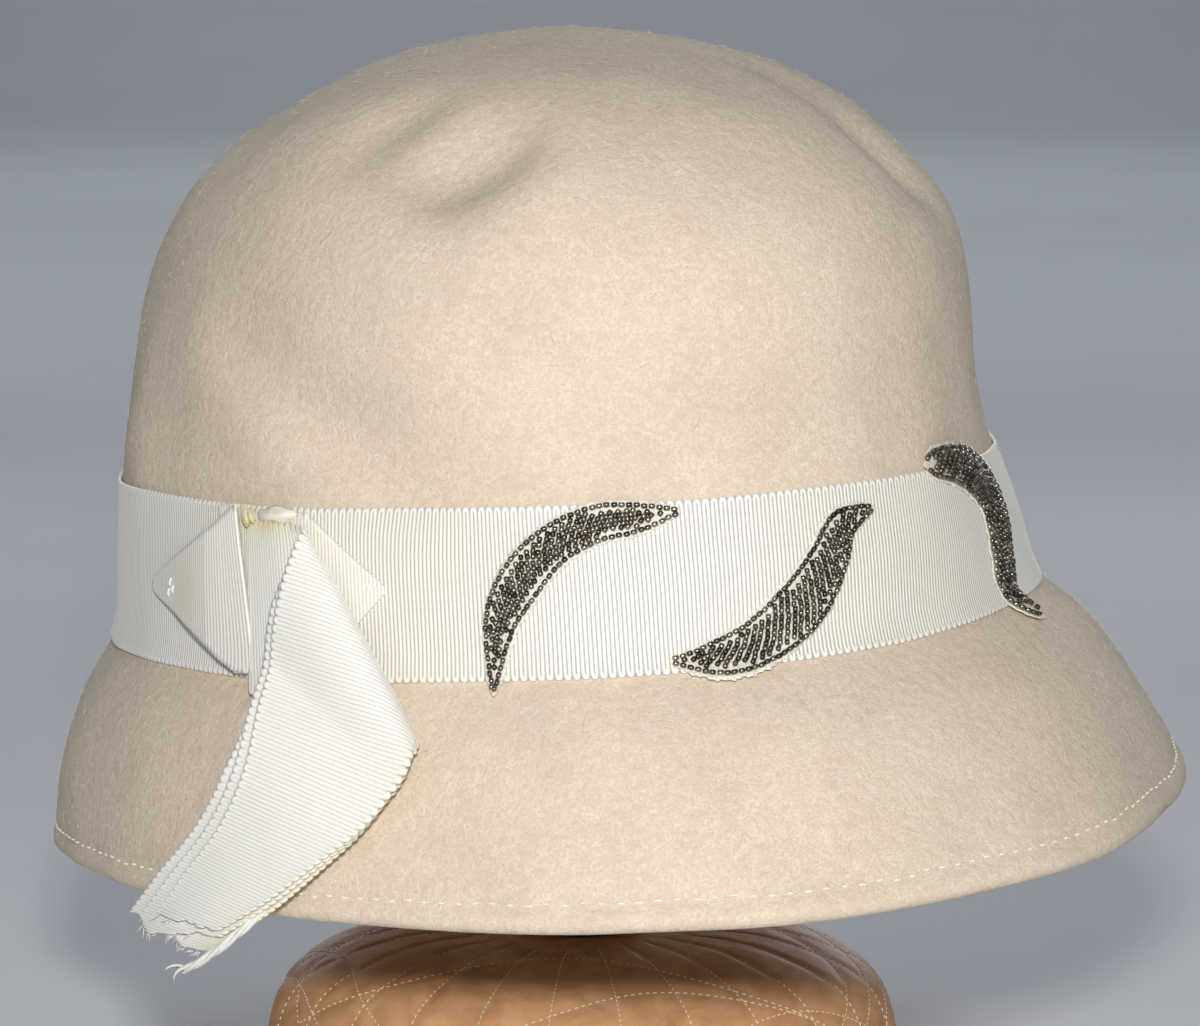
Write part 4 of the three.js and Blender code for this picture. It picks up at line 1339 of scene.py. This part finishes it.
def leaf_point(spine, along, aside, lift):
    """Point of a leaf: a distance along its spine, a distance to its left in the band's surface, and a lift
    off the felt. Also gives the felt's normal there."""
    lengths, place, way = spine
    at = [np.interp(along, lengths, column) for column in (*place[:, :2].T, *way.T)]
    row = row_at_height(at[1] + at[2] * aside)
    here, normal, _, _ = felt_frame(row, band_angle(at[0] - at[3] * aside))
    return here + normal * np.asarray(lift, float)[..., None], normal


def leaf_half(spine, along):
    """Half width of a leaf at a distance along its spine."""
    return np.interp(along, spine[0], spine[1][:, 2])


def bead_shape(long, wide):
    """Short bead with a hole: a rounded outline carried round the axis, closed through the hole."""
    rows = len(BEAD_OUTLINE)
    along, out = (BEAD_OUTLINE * [long, wide]).T[..., None]
    turn = np.arange(BEAD_SIDES) * 2 * np.pi / BEAD_SIDES
    rings = np.stack([np.broadcast_to(along, (rows, BEAD_SIDES)), out * np.cos(turn), out * np.sin(turn)], -1)
    r, c = grid(rows, BEAD_SIDES, True, True)
    return rings.reshape(-1, 3), [(r % rows) * BEAD_SIDES + c % BEAD_SIDES]


def set_beads(spine, along, aside, step_along, step_aside, lift, long, draw):
    """Beads at places of a leaf, each with its axis along a small step in the leaf's surface, slightly
    askew."""
    askew = 0.07
    off_place = 0.05
    here, normal = leaf_point(spine, along, aside, lift)
    ahead, _ = leaf_point(spine, along + step_along, aside + step_aside, lift)
    axis = unit(unit(ahead - here) + draw.normal(0, askew, here.shape))
    across = unit(np.cross(normal, axis))
    here = here + draw.normal(0, off_place, here.shape)
    shape, faces = bead_shape(long, size("bead_width"))
    return copies(shape, faces, here, np.stack([axis, across, np.cross(axis, across)], axis=1))


# Length of the step that gives a bead its axis
AXIS_STEP = 0.2


def leaf_border(spine, sign, lift, draw):
    """Row of beads along one edge of a leaf, with a little thread between them."""
    tip_gap = 0.6
    last_gap = 0.4
    thread_gap = 0.2
    along = np.linspace(tip_gap, spine[0][-1] - tip_gap, 700)
    aside = sign * (leaf_half(spine, along) - BORDER_INSET)
    points, _ = leaf_point(spine, along, aside, np.full(len(along), lift))
    lengths = run_length(points)
    spots = np.arange(tip_gap, lengths[-1] - last_gap, size("border_bead") + thread_gap)
    along_at, aside_at = (np.interp(spots, lengths, line) for line in (along, aside))
    along_on, aside_on = (np.interp(spots + AXIS_STEP, lengths, line) for line in (along, aside))
    return set_beads(spine, along_at, aside_at, along_on - along_at, aside_on - aside_at,
                     np.full(len(spots), lift), size("border_bead"), draw)


def leaf_strings(spine, gap, lift, draw):
    """Strings of beads at 45 degrees across the spine, between the border rows, highest at the spine."""
    past_tip = 8
    half_count = 11
    thread_gap = 0.03
    uneven = 0.08
    full = spine[0][-1]
    slope = math.sqrt(0.5)
    starts = np.arange(-past_tip, full + past_tip, gap)
    beads = np.arange(-half_count, half_count + 1) * (size("fill_bead") + thread_gap)
    string, bead = np.meshgrid(starts, beads, indexing="ij")
    along = (string + bead * slope + draw.normal(0, uneven, string.shape)).ravel()
    aside = (bead * slope).ravel()
    inside = np.abs(aside) < leaf_half(spine, along) - FILL_INSET
    keep = inside & (along > FILL_TIP_GAP) & (along < full - FILL_TIP_GAP)
    along = along[keep]
    aside = aside[keep]
    domed = lift + LEAF_CROWN * (1 - (aside / leaf_half(spine, along)) ** 2)
    return set_beads(spine, along, aside, AXIS_STEP, AXIS_STEP, domed, size("fill_bead"), draw)


def leaf_net(name, spine, draw):
    """Thin net under a leaf's beads, with a ragged edge and pointed ends."""
    point_reach = 2.2
    ripple = 0.12
    aged_reach = 2.0
    full = spine[0][-1]
    along = np.linspace(0, full, 240)
    shares = np.linspace(-1, 1, 15)
    ragged = waver(0.35, [(0.12, 2.1, 0), (0.1, 5.3, 1)], along) + draw.normal(0, 0.04, len(along))
    pointed = np.sqrt(np.clip(np.minimum(along, full - along) / point_reach, 0.03, 1))
    aside = ((leaf_half(spine, along) + ragged) * pointed)[:, None] * shares
    lift = NET_LIFT + ripple * np.sin(along * 1.3)[:, None] * shares ** 2
    along = along[:, None] * np.ones(len(shares))
    lower, normal = leaf_point(spine, along, aside, lift)
    points, faces, maps, used = thin_sheet(lower + normal * NET_THICKNESS, lower, along, aside)
    age = 0.5 * np.exp(-along / aged_reach) + 0.35 * np.exp(-(full - along) / aged_reach)
    piece = add_piece(f"net_{name}", on_part(points), faces, bpy.data.materials["white_bead_net"],
                      None, maps, {"age": both_faces(np.clip(age, 0, 1), used)})


def beaded_leaf(name, table, draw):
    """Leaf of seed beads on net: a border row along each edge, strings across the spine, and the net. The
    first fifth of the beads, from one border on, is a little lighter."""
    spine = leaf_lines(table)
    lift = NET_LIFT + BEAD_LIFT
    borders = [leaf_border(spine, sign, lift, draw) for sign in (-1, 1)]
    points, faces = joined(*borders, leaf_strings(spine, LEAF_STRING_GAPS[name], lift, draw))
    bead_points = len(BEAD_OUTLINE) * BEAD_SIDES
    beads = len(points) // bead_points
    lighter = (np.arange(beads) < beads * 0.2) * 0.1
    tone = np.repeat(np.clip(draw.beta(1.3, 2.6, beads) + lighter, 0, 1), bead_points)
    add_piece(f"beads_{name}", on_part(points), faces, bpy.data.materials["metal_lined_glass_beads"],
              f"bead_leaf_{name}", marks={"tone": tone})
    leaf_net(name, spine, draw)


# Stand

def turned_rings(profile, segments):
    """Rings of an outline, given as radius and height, carried round the upright axis."""
    turn = np.linspace(0, 2 * np.pi, segments, endpoint=False)
    radius, height = profile.T[..., None]
    level = np.broadcast_to(height, (len(profile), segments))
    return np.stack([radius * np.cos(turn), radius * np.sin(turn), level], -1)


def base_outline(t):
    """Side of the base, from its foot at 0 to the post's seat at 1: a cubic through its table."""
    return smooth_rows(BASE_SIDE * [BASE_RADIUS, BASE_HEIGHT], np.asarray(t) * (len(BASE_SIDE) - 1))


def scallop_lines(turn):
    """Rings of arcs on the base's side, each an absolute cosine of the angle round it."""
    return [share + rise * np.abs(np.cos(lobes * turn / 2 + shift * np.pi))
            for share, rise, lobes, shift in SCALLOP_RINGS]


def quilt_lines():
    """Stitched lines of the base's cover as angles and shares of its side: straight up the side, and the
    rings of arcs."""
    up = np.linspace(0.22, 0.8, 60)
    angles = [k * 2 * np.pi / RADIAL_LINES + RADIAL_SHIFT for k in range(RADIAL_LINES)]
    turn = np.linspace(0, 2 * np.pi, 900)
    straight = [(np.full(len(up), angle), up) for angle in angles]
    return straight + [(turn, line) for line in scallop_lines(turn)]


def base_cover():
    """Padded base under its quilted cover: the turned outline drawn in by a narrow bell along every stitched
    line, with a flat underside."""
    segments = 360
    radial_width = 1.6
    ring_width = 1.5
    radial_from = 0.18
    radial_to = 0.86
    fade = 0.08
    turn = np.linspace(0, 2 * np.pi, segments, endpoint=False)
    t = np.linspace(0, 1, 110)
    rings = turned_rings(base_outline(t), segments)
    reach = np.linalg.norm(np.gradient(base_outline(t), axis=0), axis=1).sum()
    lines_past = turn / (2 * np.pi) * RADIAL_LINES - RADIAL_SHIFT * RADIAL_LINES / (2 * np.pi)
    radial = np.abs((lines_past + 0.5) % 1 - 0.5) * 2 * np.pi * BASE_RADIUS / RADIAL_LINES
    shown = np.clip((t - radial_from) / fade, 0, 1) * np.clip((radial_to - t) / fade, 0, 1)
    near = np.exp(-(radial / radial_width) ** 2) * shown[:, None]
    for line in scallop_lines(turn):
        near = np.maximum(near, np.exp(-((t[:, None] - line) * reach / ring_width) ** 2))
    tangent_up = unit(np.gradient(rings, axis=0))
    tangent_round = unit(np.roll(rings, -1, axis=1) - np.roll(rings, 1, axis=1))
    normal = unit(np.cross(tangent_round, tangent_up))
    rings = rings - normal * (size("base_quilting") * near)[..., None]
    points, faces = skin(rings, [0, 0, 0], [0, 0, BASE_HEIGHT])
    piece = add_piece("base_cover", points, faces, padded_satin(), "stand_base")


def base_stitches():
    """Stitches along the cover's quilted lines: short arched threads end to end, set into the grooves."""
    pitch = 1.5
    half_stitch = 0.4
    crown = 0.12
    dive = 0.35
    thread = 0.1
    share = np.linspace(-1, 1, 5)
    sides = np.linspace(0, 1, 200)
    slope = np.gradient(base_outline(sides), axis=0)
    sink = (crown - size("base_quilting") - dive * share ** 2)[None, :, None]
    solids = []
    for turn, t in quilt_lines():
        radius, height = base_outline(t).T
        points = np.stack([radius * np.cos(turn), radius * np.sin(turn), height], -1)
        lengths = run_length(points)
        middle = np.arange(pitch / 2, lengths[-1], pitch)
        at = middle[:, None] + share * pitch * half_stitch
        line = np.stack([np.interp(at, lengths, points[:, k]) for k in range(3)], -1)
        side = np.interp(middle, lengths, t)
        outward, upward = (np.interp(side, sides, slope[:, k]) for k in range(2))
        spin = np.interp(middle, lengths, turn)
        up = unit(np.stack([upward * np.cos(spin), upward * np.sin(spin), -outward], -1))
        solids.append(tubes(line + up[:, None] * sink, thread * (1.05 - share ** 4), 6, up))
    points, faces = joined(*solids)
    add_piece("base_stitches", points, faces, sewing_thread("base_thread", "thread"))


def turned_post():
    """Post and cap: a turned outline with a rounded foot, a straight shaft, a flare and a shallow dome."""
    shaft_rows = 8
    dome_reach = np.linspace(1, 0.04, 16)[:, None]
    dome = np.hstack([CAP_RADIUS * dome_reach, CAP_TOP - (CAP_TOP - CAP_RIM) * dome_reach ** 2])
    foot = smooth_rows(POST_FOOT, np.linspace(0, len(POST_FOOT) - 1, 17)) + [0, POST_SEAT]
    flare = smooth_rows(CAP_FLARE, np.linspace(0, len(CAP_FLARE) - 1, 25)) + [0, CAP_RIM]
    levels = np.linspace(foot[-1, 1], flare[0, 1], shaft_rows + 2)[1:-1]
    shaft = np.stack([np.full(shaft_rows, POST_FOOT[-1, 0]), levels], -1)
    rings = turned_rings(np.concatenate([foot, shaft, flare, dome]), 96)
    points, faces = skin(rings, [0, 0, POST_SEAT], [0, 0, CAP_TOP])
    add_piece("turned_post", points, faces, varnished_wood(), "stand_post")


# Stage

def from_camera_view(towards, right, up):
    """Place at a distance from the origin towards the camera, to the camera's right, and up."""
    yaw = math.radians(CAMERA_YAW_DEG)
    ahead = np.array([-math.sin(yaw), -math.cos(yaw), 0.0])
    aside = np.array([math.cos(yaw), -math.sin(yaw), 0.0])
    return ahead * towards + aside * right + np.array([0.0, 0.0, 1.0]) * up


def aim(thing, place, target):
    """Puts a lamp or camera at a place, with its -Z axis along the line to the target and its X axis
    level."""
    back = unit(np.subtract(place, target))
    right = unit(np.cross([0.0, 0.0, 1.0], back))
    turn = np.eye(4)
    turn[:3, :3] = np.stack([right, np.cross(back, right), back], axis=1)
    turn[:3, 3] = np.asarray(place) * MM
    thing.matrix_world = Matrix(turn)


def area_lamp(name, place, target, width, power, hue, spread):
    """Square soft lamp that faces the target, its light kept within a spread in degrees."""
    lamp = bpy.data.lights.new(name, "AREA")
    lamp.size = width * MM
    lamp.energy = power
    lamp.color = linear(hue)
    lamp.spread = math.radians(spread)
    thing = bpy.data.objects.new(name, lamp)
    thing.visible_camera = False
    bpy.context.scene.collection.objects.link(thing)
    aim(thing, from_camera_view(*place), from_camera_view(*target))


def floor():
    """Pale floor, level round the part, that curves up to a wall far away."""
    level = np.stack([np.linspace(FLOOR_MIDDLE, FLOOR_RADIUS, 12), np.zeros(12)], -1)
    bend = np.linspace(0, np.pi / 2, 13)[1:]
    cove = np.stack([FLOOR_RADIUS + COVE_RADIUS * np.sin(bend), COVE_RADIUS * (1 - np.cos(bend))], -1)
    rings = turned_rings(np.concatenate([level, cove]), FLOOR_SIDES)
    r, c = grid(*rings.shape[:2], loop_columns=True)
    quads = (r * FLOOR_SIDES + c % FLOOR_SIDES)[:, ::-1].tolist()
    middle_face = list(range(FLOOR_SIDES))
    mesh = bpy.data.meshes.new("floor")
    mesh.from_pydata((rings.reshape(-1, 3) * MM).tolist(), [], quads + [middle_face])
    mesh.polygons.foreach_set("use_smooth", np.ones(len(mesh.polygons), bool))
    mesh.materials.append(pale_floor())
    made = bpy.data.objects.new("floor", mesh)
    bpy.context.scene.collection.objects.link(made)


def stage():
    """Pale floor, a small key lamp above the camera, weak fills, lamps from behind and on the far floor and
    its cove, a dim bluish surround, and the camera."""
    floor()
    for name, lamp in LAMPS.items():
        area_lamp(name, *lamp)
    scene = bpy.context.scene
    scene.world = bpy.data.worlds.new("surround")
    scene.world.use_nodes = True
    surround = scene.world.node_tree
    wire(surround, surround.nodes["Background"], {"Color": (*linear(SURROUND_HUE), 1.0),
                                                  "Strength": SURROUND_STRENGTH})
    camera = bpy.data.objects.new("camera", bpy.data.cameras.new("camera"))
    camera.data.lens = CAMERA_LENS
    camera.data.sensor_width = SENSOR_WIDTH
    camera.data.sensor_fit = "HORIZONTAL"
    scene.collection.objects.link(camera)
    aim(camera, from_camera_view(CAMERA_DISTANCE, CAMERA_ASIDE, CAMERA_HEIGHT),
        from_camera_view(0, CAMERA_ASIDE, TARGET_HEIGHT))
    scene.camera = camera
    scene.view_settings.view_transform = "Standard"


# Operators

class HAT_OT_felt(bpy.types.Operator):
    """Crown and brim of wool felt, with its nap and hem stitching"""
    bl_idname = "hat.felt"
    bl_label = "Felt"

    def execute(self, context):
        felt_shell()
        hem_stitches()
        felt_nap()
        return {"FINISHED"}


class HAT_OT_ribbons(bpy.types.Operator):
    """Ribbon band, bow loop and tab, and the tail with its frayed ends and tacking"""
    bl_idname = "hat.ribbons"
    bl_label = "Ribbons"

    def execute(self, context):
        ribbed_ribbon()
        ribbon_band()
        bow_loop()
        bow_tab()
        ribbon_tails()
        frayed_ends()
        tack_stitches()
        knot_glue()
        knot_scrap()
        return {"FINISHED"}


class HAT_OT_leaves(bpy.types.Operator):
    """Three beaded leaves on net"""
    bl_idname = "hat.leaves"
    bl_label = "Beaded leaves"

    def execute(self, context):
        cut_beads()
        bead_net()
        draw = np.random.default_rng(SEEDS["beads"])
        for name, table in LEAVES.items():
            beaded_leaf(name, table, draw)
        return {"FINISHED"}


class HAT_OT_stand(bpy.types.Operator):
    """Turned post and quilted base"""
    bl_idname = "hat.stand"
    bl_label = "Stand"

    def execute(self, context):
        turned_post()
        base_cover()
        base_stitches()
        return {"FINISHED"}


class HAT_OT_stage(bpy.types.Operator):
    """Pale floor, lamps and camera"""
    bl_idname = "hat.stage"
    bl_label = "Stage"

    def execute(self, context):
        stage()
        return {"FINISHED"}


class HAT_PT_panel(bpy.types.Panel):
    """Lists the hat's pieces and what can be changed about them"""
    bl_idname = "HAT_PT_panel"
    bl_label = "Felt hat"
    bl_space_type = "VIEW_3D"
    bl_region_type = "UI"
    bl_category = "Hat"

    def draw(self, context):
        for operator in OPERATORS:
            self.layout.operator(operator.bl_idname)
        for group in (context.scene.hat_sizes, context.scene.hat_colours):
            for name in group.__annotations__:
                self.layout.prop(group, name)


OPERATORS = (HAT_OT_felt, HAT_OT_ribbons, HAT_OT_leaves, HAT_OT_stand, HAT_OT_stage)
CLASSES = (HatSizes, HatColours, *OPERATORS, HAT_PT_panel)


def register():
    """Makes the classes known and gives every scene its sizes and colours."""
    for made in CLASSES:
        bpy.utils.register_class(made)
    bpy.types.Scene.hat_sizes = bpy.props.PointerProperty(type=HatSizes)
    bpy.types.Scene.hat_colours = bpy.props.PointerProperty(type=HatColours)


def unregister():
    """Takes back what register made known."""
    del bpy.types.Scene.hat_colours
    del bpy.types.Scene.hat_sizes
    for made in reversed(CLASSES):
        bpy.utils.unregister_class(made)


def main():
    """Builds every piece in order."""
    register()
    bpy.ops.hat.stage()
    bpy.ops.hat.felt()
    bpy.ops.hat.ribbons()
    bpy.ops.hat.leaves()
    bpy.ops.hat.stand()


if __name__ == "__main__":
    main()
